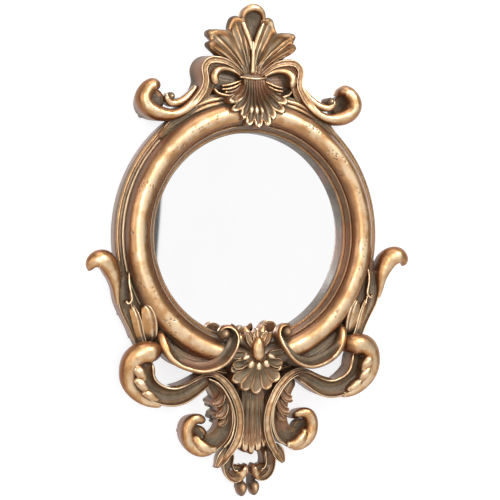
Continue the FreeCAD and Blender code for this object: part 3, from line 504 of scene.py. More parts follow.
PALM_RIDGE = (
    (0, 180, 3, 31), (0, 190, 2.6, 32), (0, 204, 2.4, 32.5), (0, 214, 2, 32), (0, 221, 1, 30.5),
)
PALM_EDGE = (
    (13, 243, 1.8, 31.5), (9.4, 233, 3.2, 3, 32), (4.8, 222, 3, 2.8, 32.5), (1.2, 208, 1.6, 32),
)
PALM_LIP = (
    (-12.8, 241, 1.4, 31.5), (-11.2, 250.5, 3.2, 2.8, 34.5), (0, 256.8, 4.6, 4.2, 36.5),
    (11.2, 250.5, 3.2, 2.8, 34.5), (12.8, 241, 1.4, 31.5),
)
COLLAR_LIP = (
    (-18, 179, 1, 31.5), (-9, 177.4, 1.2, 35), (0, 176.8, 1.3, 36), (9, 177.4, 1.2, 35),
    (18, 179, 1, 31.5),
)
SHELL_HALF = (
    (0, 120.4), (6, 127.6), (12.4, 122.4), (17, 130), (20.8, 131.4), (23, 138.6), (33.4, 139),
    (29.5, 146), (37, 150.6), (29, 157),
)

# Sides.

SIDE_STEM = (
    (133.5, -126, 3.6, 29), (138, -114, 5, 4.2, 29.5), (143.5, -100, 6.2, 5, 30),
    (148.8, -88, 7.6, 6, 31), (153, -76, 8.4, 7.2, 32), (154.6, -63, 8.6, 8, 32),
    (154.4, -50, 7, 31), (152.4, -39, 4.4, 29),
)
SIDE_ROLL = (
    (160.5, -76, 1.6, 1.4, 33), (162.8, -66, 3.4, 2.8, 35), (164.2, -56, 5.6, 4.2, 37),
    (166.6, -46, 8.6, 6, 39), (171, -36.5, 11.5, 7.8, 41), (178, -28.5, 14, 8, 43),
    (186.5, -26.5, 11, 7.6, 43), (192.3, -31, 7, 5.4, 40), (193.6, -37.5, 3.4, 3.2, 37),
)
SIDE_LIFT = (0, 0, 0, 0, 2, 7, 12, 14, 14)
SIDE_LOOP = (
    (147.4, -39, 0.9, 30), (148.2, -50, 1.2, 33), (146.2, -63, 1.3, 34), (146.8, -71.5, 1.3, 34.5),
    (150, -73.5, 1.2, 34.5), (152.4, -69, 1, 33),
)
SIDE_FIELD = (
    (157, -26, 2.6, 24), (154.5, -42, 5, 25.5), (149, -60, 7, 26.5), (142, -77, 7.5, 27),
    (133.5, -93, 7.5, 27), (124.5, -107, 5.5, 27),
)
BUD_LEAF = (
    (121, -117, 4, 33), (124.5, -104, 8.6, 6.4, 36), (127, -92, 9.2, 7, 38),
    (129.5, -82, 7, 5.6, 38.5), (132.5, -74.5, 2.2, 37),
)
BUD_SIDE = (
    (128.5, -125, 3.6, 31), (136, -106, 5, 4.5, 33), (139.5, -93, 5.4, 5, 34), (143, -82, 4, 33.5),
    (146, -74, 1.6, 31),
)

# Apron.

CRADLE = (
    (112.8, -103, 2.6, 33), (112, -110, 4.4, 38), (110.4, -119, 5.4, 5.6, 42),
    (105.6, -129.5, 5.2, 7, 44.5), (96.5, -139.6, 4, 8, 46), (82, -147, 3, 9, 49),
    (66, -149.8, 2.6, 9, 52), (52, -146.8, 2.4, 9, 54), (41, -140.2, 2.4, 8.6, 55),
    (32.5, -130, 2.4, 8, 55), (27.5, -120.6, 2.6, 6.4, 53), (26, -112, 2.8, 4.6, 49),
    (28.8, -105.6, 2.8, 3.4, 46), (35.3, -102.4, 2.8, 44), (41.6, -104.3, 2.4, 42), (44.2, -109, 1.8, 40),
)
CRADLE_FLARE = (0, 0, -1, -2, -3, -4, -4.5, -4.5, -4, -2, -0.5, -0.5, -0.5, -0.5, -0.5, -0.5)
CRADLE_LIFT = (0, 0, 2, 5, 8, 9, 9, 9, 8, 4, 0, 0, 0, 0, 0, 0)
CRADLE_FIELD = (
    (116, -108, 3, 29), (106, -121, 7, 31), (92, -133, 9, 32), (74, -142, 9.5, 33),
    (56, -143, 9, 36), (40, -136, 7, 39), (32, -124, 5, 42), (30, -112, 3.4, 40),
)
FOOT = (
    (50.5, -160.5, 4.5, 6, 36), (58, -161, 6, 7.6, 38), (67, -165.4, 7.6, 8.6, 39.5),
    (77.5, -171.6, 9, 9.8, 39), (90, -177, 10, 10.6, 38.5), (104, -178, 11, 10.5, 38),
    (118, -174, 12.5, 10, 38), (129, -166, 14, 9, 38.5), (136, -155.5, 16.5, 7, 39),
    (137.5, -145, 16.5, 6, 40), (134.5, -135, 14, 5, 40), (130, -127, 9, 5, 39),
)
KNOB = (
    (113, -135, 6.5, 43), (120, -130, 11.5, 10.5, 47), (130, -127.6, 12.6, 11.6, 49),
    (139.2, -129.6, 12.6, 11.6, 48), (146.4, -137, 12, 11, 46), (150, -147.8, 10.6, 9.4, 43.5),
    (149, -159.2, 9.6, 8.4, 41.5), (143.4, -169.4, 8.2, 7.2, 40), (134.4, -178, 6.6, 6, 39),
    (123.4, -183.8, 4.8, 4.6, 38), (110, -187, 2.8, 37),
)
FLAMES = (
    ((149, -141, 2, 44), (143, -145.5, 5.4, 48), (137, -152.5, 5.6, 5, 47.5), (135.6, -161, 1.6, 43)),
    ((147, -153.5, 2, 43), (141, -158.5, 5, 46.5), (134.6, -165.5, 5, 4.6, 46),
     (132, -173.5, 1.4, 41)),
    ((138, -168.5, 2, 41), (130.5, -172.5, 4.6, 44), (123, -176.6, 4.2, 4, 43),
     (115.5, -181.5, 1.2, 39)),
)
STRIP = (
    (98, -167, 1, 39), (83, -163.4, 1.5, 40), (69, -157.6, 2, 40.5), (57, -154.2, 2.6, 40),
    (46, -157.4, 3.4, 39), (36, -165, 4, 38), (27.5, -176, 4.3, 36.5), (20.8, -189.5, 4.4, 36),
    (17.2, -203.5, 4.6, 35), (17, -218, 4.8, 34), (20, -231, 5, 33), (26, -243, 4.4, 31),
    (32.5, -252, 2.8, 28), (37, -258.5, 1.2, 25.5),
)
STRIP_LINE = (
    (57, -160, 0.8, 35), (47, -164, 1, 36), (38.5, -171.5, 1.1, 36), (31.5, -182, 1.1, 35),
    (26, -194, 1.1, 34), (23, -207, 1.1, 33), (24.2, -219, 1.1, 33), (29.5, -232, 1, 33),
    (37, -240, 0.8, 32),
)
LOWER_LEAF = (
    (26, -238, 3.6, 28), (31.5, -247, 7.4, 6.4, 28), (37.4, -256, 6.4, 5.6, 26.5),
    (42.5, -263.5, 1.2, 24),
)
PENDANT = (
    (53.5, -165, 4, 33), (44.5, -174.5, 6.4, 6.6, 33), (37.6, -187, 8, 9, 33),
    (34, -201, 9, 9.6, 32.5), (33.4, -214, 10.5, 9, 31.5), (37, -226.5, 13, 8, 30),
    (44.5, -235, 15, 7, 28.5), (54, -239.5, 15, 6, 27.5), (63, -239, 12, 5.5, 27),
)
PENDANT_ROLL = (
    (55.5, -213.5, 3.4, 24), (59.5, -207.8, 4.8, 5.2, 27), (66.8, -205.6, 5.8, 6.4, 29),
    (73.8, -208.8, 6.8, 7.4, 30), (77.6, -216, 7.2, 7.8, 30), (77.8, -225, 7.2, 7.8, 30),
    (74.4, -234.4, 6.8, 7.2, 29.5), (67, -241, 6.2, 6.4, 29.5), (56.6, -244, 5, 29.5),
    (45.5, -241.6, 3, 29.5),
)
PENDANT_CRESCENT = (
    (67.6, -222, 2.4, 27), (66.4, -229.4, 5.6, 5.4, 30.5), (60.4, -236.6, 7.4, 6.6, 33),
    (51.6, -240.6, 5.6, 5, 32.5), (41.5, -240.4, 2, 30.5),
)
PENDANT_CURLS = (
    ((37, -174, 2.4, 29), (38.5, -182, 4.4, 32), (43.5, -187.4, 5, 4.8, 34),
     (50.4, -187.6, 3.4, 3.2, 33.5)),
    ((33, -187, 2.4, 29), (34.5, -195.5, 4.4, 32), (39.5, -201.4, 5, 4.8, 33.5),
     (46.6, -202, 3.4, 3.2, 33)),
    ((32.5, -201, 2, 28.5), (34, -207.5, 3.4, 31), (38, -211.4, 3.6, 3.4, 32), (43, -211.6, 2.4, 31.5)),
)
TAIL = (
    (23, -243, 5, 24), (25.6, -254, 6.4, 6.2, 22.5), (26, -264, 6.8, 6.2, 22),
    (22.6, -272.6, 6.6, 8, 22), (16, -276.4, 6.2, 9, 22.5), (9.4, -274, 5, 7, 23.5),
    (6.4, -267.4, 4, 3.6, 24.5), (8.4, -262.4, 2.8, 2.4, 24.5),
)
STEM_BED = (
    (0, -150, 30, 24), (0, -165, 30, 24.5), (0, -180, 22, 24.5), (0, -200, 16, 24.5),
    (0, -220, 15.5, 23.5), (0, -235, 16.5, 22), (0, -243, 16, 20.5),
)
STEM_HALF = ((0, -250), (4.4, -243.6), (8.8, -247), (12.8, -240.4), (16.8, -242.6), (18, -236))
ROSETTE_HALF = (
    (0, -180), (7.2, -173.6), (16.4, -175), (20.8, -167.6), (30, -163), (27.4, -155), (32, -148.6),
    (25, -142.4),
)
PETAL_TIPS = ((0, -104.5, 6.4), (12.8, -107.8, 6.2))
PETAL_BACKS = ((12.5, -102, 6), (23, -111, 5.6))
FLORETS = ((9.4, -144.6, 3.6, 5, -38), (15.6, -136.4, 2.6, 5.6, -70))
SIDE_CUPS = (
    ((11, -140, 2.4, 46), (18, -143, 4.8, 47), (26, -144.4, 5.8, 5.6, 47), (31.5, -143.6, 4.4, 4.2, 46.5)),
    ((13, -133, 2.2, 45), (21, -133.4, 4, 46), (28.5, -133, 4.6, 45.5), (33, -131.6, 3.4, 45)),
)

PETAL_ROOT_Z = -126.0
PETAL_SPREAD = 0.3
PETAL_SHARES = (0.0, 0.4, 0.75, 1.0)
PETAL_SWELLS = (0.5, 0.95, 0.8, 0.14)


def petals(tips, tops, profile):
    """Pointed petals that fan from one root to each tip, on both sides."""
    shells = []
    for tip_x, tip_z, half in tips:
        root = PETAL_SPREAD * tip_x
        stations = []
        for share, swell, top in zip(PETAL_SHARES, PETAL_SWELLS, tops):
            x = root + share * (tip_x - root)
            z = PETAL_ROOT_Z + share * (tip_z - PETAL_ROOT_Z)
            stations.append((x, z, half * swell, top))
        shell = sweep(stations, profile, 19, ends=(0.0, 0.55))
        shells.append(shell)
        if tip_x > 0:
            shells.append(mirrored(shell))
    return shells


def pair(shells):
    """Shells of the right half and their mirror images."""
    return shells + [mirrored(shell) for shell in shells]


DULL = 0.22
PAIRS = {
    "crest_scroll": [sweep(CREST_SCROLL, horn, 31, flare=CREST_FLARE, lift=CREST_LIFT),
                     sweep(ARCH_INNER, leaf, 21), dome(117.5, 150.0, 13.0, 13.0, 19.0, 23.0, dull=DULL)],
    "crest_curl": [sweep(CREST_CURL, roll), dome(98.6, 154.6, 4.6, 4.6, 34.0, 28.0)],
    "crest_ear_top": [sweep(EAR_TOP, roll), sweep(EAR_FIELD, combed, 31, dull=0.35)],
    "crest_ear_low": [sweep(EAR_LOW, cove, 27)] + [sweep(line, roll, 11, dull=0.1) for line in EAR_RIBS],
    "crest_feather": [sweep(line, roll, 13, dull=0.12) for line in FEATHERS]
                     + [sweep(CREST_FIELD, combed, 41, dull=DULL)],
    "side_leaf": [sweep(SIDE_STEM, trough, 31), sweep(SIDE_ROLL, roll, 31, flare=-3.0, lift=SIDE_LIFT),
                  sweep(SIDE_LOOP, roll, 11), sweep(SIDE_FIELD, combed, 41, dull=DULL)],
    "bud_leaf": [sweep(BUD_LEAF, blade, 27), sweep(BUD_SIDE, blade, 21)],
    "cradle_scroll": [sweep(CRADLE, cradle_front, 33, flare=CRADLE_FLARE, lift=CRADLE_LIFT)],
    "cradle_field": [sweep(CRADLE_FIELD, combed, 41, dull=DULL)],
    "cradle_bead": [dome(38.4, -109.8, 7.2, 7.0, 45.5, 36.0)],
    "foot_scroll": [sweep(FOOT, combed_trough, 35)],
    "foot_knob": [sweep(KNOB, roll, 31, flare=-7.0)] + [sweep(line, roll, 15) for line in FLAMES],
    "pendant_strip": [sweep(STRIP, strap, 27), sweep(STRIP_LINE, roll, 11),
                      sweep(LOWER_LEAF, leaf, 21, flare=-3.0, lift=(0, -2, -2, 0), dull=0.1)],
    "pendant_scroll": [sweep(PENDANT, open_trough, 33),
                       sweep(PENDANT_ROLL, roll, 27, flare=-3.8, lift=-11.5),
                       sweep(PENDANT_CRESCENT, roll, 21),
                       dome(64.5, -225.0, 11.5, 11.5, 17.5, 22.0, dull=DULL)],
    "pendant_curl": [sweep(line, trough, 21, ends=(1.0, 0.6), flare=-0.5, lift=-11.0, cup=True)
                     for line in PENDANT_CURLS],
    "tail_scroll": [sweep(TAIL, tail_front, 27, flare=-3.5, lift=-8.0),
                    dome(4.4, -268.5, 3.6, 7.4, 25.0, 19.0),
                    dome(15.5, -269.0, 9.0, 7.0, 14.6, 18.0, dull=DULL, lift=-3.0)],
    "tail_drop": [dome(7.8, -290.5, 6.2, 8.8, 23.0, 15.0, pull=-0.22, lift=-3.0)],
}
MIDDLES = {
    "crest_palmette": [sweep(PALM_LEAF, trough, 33, lift=(0, 0, 1, 3, 5, 6, 6)),
                       sweep(PALM_RIDGE, roll, 15), sweep(PALM_LIP, roll, 21, lift=6.0)]
                      + pair([fan_leaf((1.5, 13.0, 180.0), PALM_SIDE, (26.0, 27.0, 28.5, 27.5), bow=1.6,
                                       hollow=2.6, ridge=-1.8, rim=2.2, lift=7.0, dull=0.12, step=4.5,
                                       veins=3),
                              sweep(PALM_EDGE, roll, 15, lift=2.0),
                              dome(50.2, 226.4, 5.0, 4.8, 29.0, 24.5, lift=5.0)]),
    "crest_collar": [sweep(COLLAR_LIP, roll, 13), dome(0.0, 179.0, 16.0, 5.0, 29.0, 24.0, dull=0.1)],
    "crest_shell": [fan_leaf((-13.0, 13.0, 176.0), both_ways(SHELL_HALF), (34.0, 38.5, 45.0, 46.5),
                             bow=2.4, hollow=2.8, ridge=1.5, rim=1.6)],
    "pendant_stem": [fan_leaf((-13.5, 13.5, -168.0), both_ways(STEM_HALF), (29.0, 29.5, 29.0, 27.0),
                              bow=2.6, hollow=1.4, ridge=0.9, rim=0.8),
                     sweep(STEM_BED, combed, 51, dull=DULL)],
    # The bud's negative dull makes it paler: painted highlight.
    "rosette_bud": [dome(0.0, -127.5, 8.2, 13.8, 51.0, 45.5, pull=0.08, dull=-0.3)],
    "rosette_petals": petals(PETAL_TIPS, (45.0, 46.5, 46.0, 44.0), leaf)
                      + petals(PETAL_BACKS, (38.0, 38.0, 37.0, 34.0), roll)
                      + pair([sweep(line, trough, 21, cup=True, dull=0.1) for line in SIDE_CUPS])
                      # The florets' negative dull makes them paler: painted highlight.
                      + [dome(0.0, -147.0, 3.4, 4.8, 50.0, 46.8, dull=-0.5)]
                      + pair([dome(x, z, wide, high, 50.0, 46.8, tilt=-turn, dull=-0.5)
                              for x, z, wide, high, turn in FLORETS]),
    "rosette_shell": [fan_leaf((-8.0, 8.0, -144.0), both_ways(ROSETTE_HALF), (45.0, 44.5, 42.5, 40.0),
                               bow=1.2, hollow=2.0, ridge=0.3, rim=1.0, dull=0.28, step=1.6)],
}


# Materials

class Nodes:
    """A node tree that is built up step by step."""

    def __init__(self, tree):
        self.nodes = tree.nodes
        self.links = tree.links

    def add(self, kind, **values):
        node = self.nodes.new(kind)
        for name, value in values.items():
            setattr(node, name, value)
        return node

    def put(self, node, socket, value):
        if isinstance(value, bpy.types.NodeSocket):
            self.links.new(value, node.inputs[socket])
        else:
            node.inputs[socket].default_value = value

    def math(self, operation, first, second, clamp=False):
        node = self.add("ShaderNodeMath", operation=operation, use_clamp=clamp)
        self.put(node, 0, first)
        self.put(node, 1, second)
        return node.outputs[0]

    def plus(self, first, second, clamp=False):
        return self.math("ADD", first, second, clamp)

    def minus(self, first, second, clamp=False):
        return self.math("SUBTRACT", first, second, clamp)

    def times(self, first, second, clamp=False):
        return self.math("MULTIPLY", first, second, clamp)

    def band(self, value, low, high, to_low=0.0, to_high=1.0):
        node = self.add("ShaderNodeMapRange", interpolation_type="SMOOTHSTEP")
        self.put(node, "Value", value)
        limits = (("From Min", low), ("From Max", high), ("To Min", to_low), ("To Max", to_high))
        for socket, number in limits:
            self.put(node, socket, number)
        return node.outputs["Result"]


class Paint(Nodes):
    """The nodes of a material."""

    def __init__(self, name):
        self.material = bpy.data.materials.new(name)
        self.material.use_nodes = True
        super().__init__(self.material.node_tree)
        self.shader = self.nodes["Principled BSDF"]
        self.place = self.add("ShaderNodeTexCoord").outputs["Object"]

    def noise(self, scale, detail=3.0, rough=0.55, stretch=None):
        node = self.add("ShaderNodeTexNoise")
        place = self.place
        if stretch:
            mapping = self.add("ShaderNodeMapping")
            self.put(mapping, "Vector", place)
            self.put(mapping, "Scale", stretch)
            place = mapping.outputs["Vector"]
        self.put(node, "Vector", place)
        self.put(node, "Scale", scale)
        self.put(node, "Detail", detail)
        self.put(node, "Roughness", rough)
        return node.outputs["Fac"]

    def cells(self, scale):
        node = self.add("ShaderNodeTexVoronoi")
        self.put(node, "Vector", self.place)
        self.put(node, "Scale", scale)
        return node.outputs["Distance"]

    def value(self, name):
        return self.add("ShaderNodeAttribute", attribute_name=name).outputs["Fac"]

    def mix(self, share, first, second):
        node = self.add("ShaderNodeMix", data_type="RGBA")
        for socket, value in ((0, share), (6, first), (7, second)):
            if isinstance(value, tuple):
                value = value + (1.0,)
            self.put(node, socket, value)
        return node.outputs[2]

    def set(self, **values):
        for name, value in values.items():
            if isinstance(value, tuple):
                value = value + (1.0,)
            self.put(self.shader, name.replace("_", " "), value)

    def bump(self, height, strength, distance):
        node = self.add("ShaderNodeBump")
        self.put(node, "Height", height)
        self.put(node, "Strength", strength)
        self.put(node, "Distance", distance)
        self.put(self.shader, "Normal", node.outputs["Normal"])


# Gold colours: the pale one serves painted highlight and rubbed wear, the brown one painted shade and
# mottling.
GOLD_PALE = (0.94, 0.73, 0.48)
GOLD = (0.61, 0.325, 0.13)
GOLD_BROWN = (0.29, 0.122, 0.046)
COPPER = (0.30, 0.105, 0.05)
PATINA = (0.125, 0.105, 0.068)
PATINA_DARK = (0.055, 0.043, 0.027)
UMBER = (0.028, 0.017, 0.010)


def gilt(name, age_and_shade, lacquer=0.3):
    """Rubbed gilding: painted highlight on fronts, wear and painted highlight on edges, painted shade on
    the sides, patina, dirt and painted shade in the hollows.
    """
    paint = Paint(name)
    cloud = paint.noise(46.0, 4.0, 0.6)
    patch = paint.noise(95.0, 3.0, 0.55)
    fine = paint.noise(900.0, 3.0, 0.65)
    wear_and_shade = paint.value("wear_and_shade")
    recess_dirt_and_shade = paint.value("recess_dirt_and_shade")
    # How far each surface faces the front, mottled by noise: it drives the painted highlight and painted
    # shade below.
    front = paint.value("facing")
    for pattern, share in ((cloud, 0.45), (patch, 0.30)):
        drift = paint.times(paint.minus(pattern, 0.5), share)
        front = paint.plus(front, drift)
    # Painted shade: surfaces that turn away from the front go brown.
    tone = paint.mix(paint.band(front, 0.96, 0.58), GOLD, GOLD_BROWN)
    tone = paint.mix(paint.band(patch, 0.55, 0.72, 0.0, 0.7), tone, COPPER)
    # Painted highlight: surfaces that face the front go pale.
    tone = paint.mix(paint.band(front, 0.88, 1.04, 0.0, 0.72), tone, GOLD_PALE)
    # Convex edges go pale: rubbed wear and painted highlight.
    rub_and_highlight = paint.band(paint.plus(wear_and_shade, paint.times(cloud, 0.10)), 0.16, 0.42)
    tone = paint.mix(paint.times(rub_and_highlight, 0.9), tone, GOLD_PALE)
    # Concave places and recesses darken: dirt and patina with painted shade.
    hollow = paint.band(wear_and_shade, -0.03, -0.26)
    deep = paint.band(recess_dirt_and_shade, 0.06, 0.55)
    dirt_and_shade = paint.plus(paint.times(hollow, 0.85), deep)
    # Painted shade: surfaces that face sideways darken further.
    dirt_and_shade = paint.plus(dirt_and_shade, paint.band(front, 0.50, 0.10, 0.0, 0.34))
    # Overall darkening with age; on the grounds it is painted shade as well.
    dirt_and_shade = paint.plus(dirt_and_shade, age_and_shade - 0.18)
    dirt_and_shade = paint.minus(dirt_and_shade, paint.times(rub_and_highlight, 0.9), True)
    dirt_and_shade = paint.times(dirt_and_shade, paint.band(fine, 0.30, 0.62, 0.8, 1.0), True)
    grey = paint.mix(paint.band(patch, 0.40, 0.66), PATINA, PATINA_DARK)
    grey = paint.mix(paint.band(paint.noise(17.0, 2.0), 0.50, 0.64, 0.0, 0.55), grey, COPPER)
    # The deepest recesses go umber: dirt and painted shade.
    grey = paint.mix(paint.band(recess_dirt_and_shade, 0.55, 1.0), grey, UMBER)
    tone = paint.mix(paint.times(dirt_and_shade, 0.94), tone, grey)
    # Worm holes painted dark: dirt and painted shade in the holes.
    worm = paint.band(paint.cells(75.0), 0.085, 0.060)
    worm = paint.times(worm, paint.band(paint.noise(24.0, 2.0), 0.56, 0.62))
    tone = paint.mix(paint.times(worm, 0.9), tone, UMBER)
    metal = paint.minus(0.94, paint.times(dirt_and_shade, 0.74), True)
    rough = paint.band(fine, 0.2, 0.8, 0.30, 0.42)
    rough = paint.plus(rough, paint.times(dirt_and_shade, 0.28), True)
    paint.set(Base_Color=tone, Metallic=metal, Roughness=rough, Coat_Weight=lacquer, Coat_Roughness=0.26)
    height = paint.plus(paint.times(fine, 0.30), paint.times(patch, 0.5))
    height = paint.minus(height, paint.times(worm, 1.4))
    paint.bump(height, 0.28, 0.0006)
    return paint.material


def old_wood(name, first, second, grain):
    """Bare or stained wood, for the board and the dowels."""
    paint = Paint(name)
    lines = paint.noise(grain, 5.0, 0.65, (1.0, 1.0, 0.06))
    blot = paint.noise(22.0, 3.0)
    tone = paint.mix(paint.band(lines, 0.3, 0.7), first, second)
    tone = paint.mix(paint.band(blot, 0.55, 0.75, 0.0, 0.45), tone, UMBER)
    paint.set(Base_Color=tone, Roughness=paint.band(lines, 0.2, 0.8, 0.72, 0.55))
    paint.bump(lines, 0.35, 0.0005)
    return paint.material


def plain_metal(name, first, second, low, high):
    """Worked metal with fine scratches and tarnish."""
    paint = Paint(name)
    scratch = paint.noise(700.0, 3.0, 0.6, (1.0, 1.0, 0.08))
    tarnish = paint.noise(120.0, 4.0)
    paint.set(
        Base_Color=paint.mix(paint.band(tarnish, 0.4, 0.7), first, second),
        Metallic=1.0,
        Roughness=paint.band(scratch, 0.25, 0.75, low, high),
    )
    paint.bump(scratch, 0.15, 0.0002)
    return paint.material


def silvering(name):
    """Mirror glass with faint dust and a little haze."""
    paint = Paint(name)
    haze = paint.noise(9.0, 2.0)
    dust = paint.noise(1500.0, 2.0, 0.7)
    tone = paint.mix(paint.band(haze, 0.35, 0.7), (0.96, 0.96, 0.965), (0.945, 0.945, 0.955))
    paint.set(Base_Color=tone, Metallic=1.0, Roughness=paint.band(dust, 0.55, 0.85, 0.015, 0.06))
    return paint.material


GILT = gilt("gilt_carving", 0.10)
GILT_RING = gilt("gilt_ring", 0.02, 0.75)
LOOKS = {
    # The grounds sit behind the carvings and are darkened as painted shade with their dirt; with no stored
    # values they also take the painted shade of sideways surfaces.
    "crest_ground": gilt("gilt_ground_crest", 0.62),
    "apron_ground": gilt("gilt_ground_apron", 0.62),
    "mirror_glass": silvering("mirror_silver"),
    "backing_board": old_wood("brown_board", (0.24, 0.145, 0.075), (0.16, 0.095, 0.05), 260.0),
    "keyhole_plate": plain_metal("plate_brass", (0.60, 0.44, 0.20), (0.38, 0.27, 0.13), 0.26, 0.44),
    "keyhole_plate_screws": plain_metal("plate_screw_steel", (0.50, 0.49, 0.47), (0.30, 0.28, 0.26),
                                        0.30, 0.5),
    "turn_button_screws": plain_metal("pivot_screw_brass", (0.62, 0.46, 0.22), (0.36, 0.26, 0.13),
                                      0.26, 0.42),
    "carving_screws": plain_metal("screw_steel", (0.42, 0.40, 0.38), (0.22, 0.17, 0.13), 0.34, 0.55),
}
BUTTON = plain_metal("button_brass", (0.66, 0.49, 0.23), (0.42, 0.30, 0.14), 0.24, 0.40)
DOWEL = old_wood("dowel_beech", (0.52, 0.36, 0.20), (0.44, 0.29, 0.16), 300.0)
for number in range(1, 5):
    LOOKS["turn_button_%d" % number] = BUTTON
for name in ("crest_dowels", "apron_dowels"):
    LOOKS[name] = DOWEL
for name, look in LOOKS.items():
    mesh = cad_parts[name].data
    mesh.materials.clear()
    mesh.materials.append(look)


# Pieces

pieces = {}
for name, shells in PAIRS.items():
    pieces[name + "_right"] = shells
    pieces[name + "_left"] = [mirrored(shell) for shell in shells]
pieces.update(MIDDLES)
pieces["frame_ring"] = [ring_shell()]

# Height of the whole front on a coarse grid, and the same blurred, to find the recesses, where dirt and
# painted shade go.
CELL = 2.0
NEAR_CELLS, FAR_CELLS = 2, 6
GRID_X, GRID_Z = 210.0, 310.0
heights = np.zeros((int(2 * GRID_Z / CELL), int(2 * GRID_X / CELL)))


def cell_of(points):
    """Row and column of the grid's cell at each point."""
    column = np.clip(((points[:, 0] + GRID_X) / CELL).astype(int), 0, heights.shape[1] - 1)
    row = np.clip(((points[:, 2] + GRID_Z) / CELL).astype(int), 0, heights.shape[0] - 1)
    return row, column


def blurred(array, reach):
    """Mean over a square of cells, taken twice."""
    for axis in (0, 1, 0, 1):
        pad = [(reach + 1, reach) if k == axis else (0, 0) for k in (0, 1)]
        total = np.cumsum(np.pad(array, pad, mode="edge"), axis=axis)
        size = array.shape[axis]
        far = np.take(total, np.arange(2 * reach + 1, 2 * reach + 1 + size), axis=axis)
        near = np.take(total, np.arange(size), axis=axis)
        array = (far - near) / (2 * reach + 1)
    return array


for shells in pieces.values():
    for points, _, _ in shells:
        np.maximum.at(heights, cell_of(points), points[:, 1])
near_front, far_front = blurred(heights, NEAR_CELLS), blurred(heights, FAR_CELLS)


def new_object(name, points, faces):
    """Mesh object whose faces all look outward."""
    mesh = bpy.data.meshes.new(name)
    mesh.from_pydata(points, [], faces)
    work = bmesh.new()
    work.from_mesh(mesh)
    bmesh.ops.recalc_face_normals(work, faces=work.faces)
    work.to_mesh(mesh)
    work.free()
    item = bpy.data.objects.new(name, mesh)
    bpy.context.collection.objects.link(item)
    return item


def build(name, shells):
    """One mesh object from closed shells, with values for wear, dirt, painted highlight and painted shade
    stored on its points.
    """
    vertices, polygons, wears = [], [], []
    count = 0
    for points, faces, wear_and_shade in shells:
        vertices.append(points)
        wears.append(wear_and_shade)
        polygons += [tuple(count + k for k in face) for face in faces]
        count += len(points)
    points = np.concatenate(vertices)
    placed = np.stack([points[:, 0], -points[:, 1], points[:, 2] - KEY_Z], axis=1) * MM
    piece = new_object(name, placed.tolist(), polygons)
    mesh = piece.data
    mesh.polygons.foreach_set("use_smooth", np.ones(len(mesh.polygons), bool))
    mesh.set_sharp_from_angle(angle=SHARP_EDGE)
    place = cell_of(points)
    # Recesses below their surroundings get dirt and painted shade, less on walls that face sideways.
    sunk = 0.7 * unit((near_front[place] - points[:, 1]) / 5.0)
    sunk = sunk + 0.6 * unit((far_front[place] - points[:, 1]) / 14.0)
    # How far each point faces the front, for the painted highlight and painted shade.
    normals = np.empty(3 * len(points))
    mesh.vertices.foreach_get("normal", normals)
    facing = unit(-normals.reshape(-1, 3)[:, 1])
    sunk = sunk * (0.25 + 0.75 * facing)
    for label, values in (("wear_and_shade", np.concatenate(wears)), ("recess_dirt_and_shade", sunk), ("facing", facing)):
        layer = mesh.attributes.new(label, "FLOAT", "POINT")
        layer.data.foreach_set("value", values.astype(np.float32))
    return piece


def shaped(piece, tool, operation):
    """Cuts a piece with a tool, or keeps what both share, and takes the tool away."""
    change = piece.modifiers.new("shaped", "BOOLEAN")
    change.operation = operation
    change.solver = "EXACT"
    change.use_self = operation == "INTERSECT"
    change.object = tool
    graph = bpy.context.evaluated_depsgraph_get()
    mesh = bpy.data.meshes.new_from_object(piece.evaluated_get(graph))
    piece.modifiers.clear()
    piece.data = mesh
    bpy.data.objects.remove(tool)


def recess_plate(ring):
    """Cuts the shallow bed of the keyhole plate into the back of the ring."""
    low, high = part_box("keyhole_plate")
    gap = 0.15 * MM
    xs = (low.x - gap, high.x + gap)
    ys = (low.y, 2.0 * high.y - low.y)
    zs = (low.z - gap, high.z + gap)
    points = [(x, y, z) for x in xs for y in ys for z in zs]
    faces = [(0, 1, 3, 2), (4, 6, 7, 5), (0, 4, 5, 1), (2, 3, 7, 6), (0, 2, 6, 4), (1, 5, 7, 3)]
    shaped(ring, new_object("plate_bed", points, faces), "DIFFERENCE")


# The bars and posts reach from in front of a ground to behind it.
TOOL_FRONT, TOOL_BACK = 20.0, -5.0
BAR_STEP = 3.0
POST_R = 3.2


def bar(stations, inset=0.0):
    """Closed bar right through a ground, along a line and narrower than what it carries."""
    line, _ = spline([row[:4] for row in both_widths(stations)], BAR_STEP)
    x, z, left_w, right_w = line.T
    dx, dz = np.gradient(x), np.gradient(z)
    speed = np.hypot(dx, dz)
    columns = []
    corners = ((left_w, TOOL_FRONT), (-right_w, TOOL_FRONT), (-right_w, TOOL_BACK), (left_w, TOOL_BACK))
    for reach, depth in corners:
        short = np.sign(reach) * np.maximum(np.abs(reach) - inset, 0.8)
        side_x, side_z = x - dz / speed * short, z + dx / speed * short
        columns.append(np.stack([side_x, np.full_like(x, depth), side_z], axis=1))
    points = np.stack(columns, axis=1)
    return points.reshape(-1, 3), grid_faces(*points.shape[:2], False)


def post(x, z, radius):
    """Closed round post right through a ground."""
    angle = np.linspace(0.0, 2.0 * math.pi, 20, endpoint=False)
    rings = []
    for depth in (TOOL_FRONT, TOOL_BACK):
        level = np.full_like(angle, depth)
        rings.append(np.stack([x + radius * np.cos(angle), level, z + radius * np.sin(angle)], axis=1))
    points = np.stack(rings, axis=0)
    return points.reshape(-1, 3), grid_faces(*points.shape[:2], False)


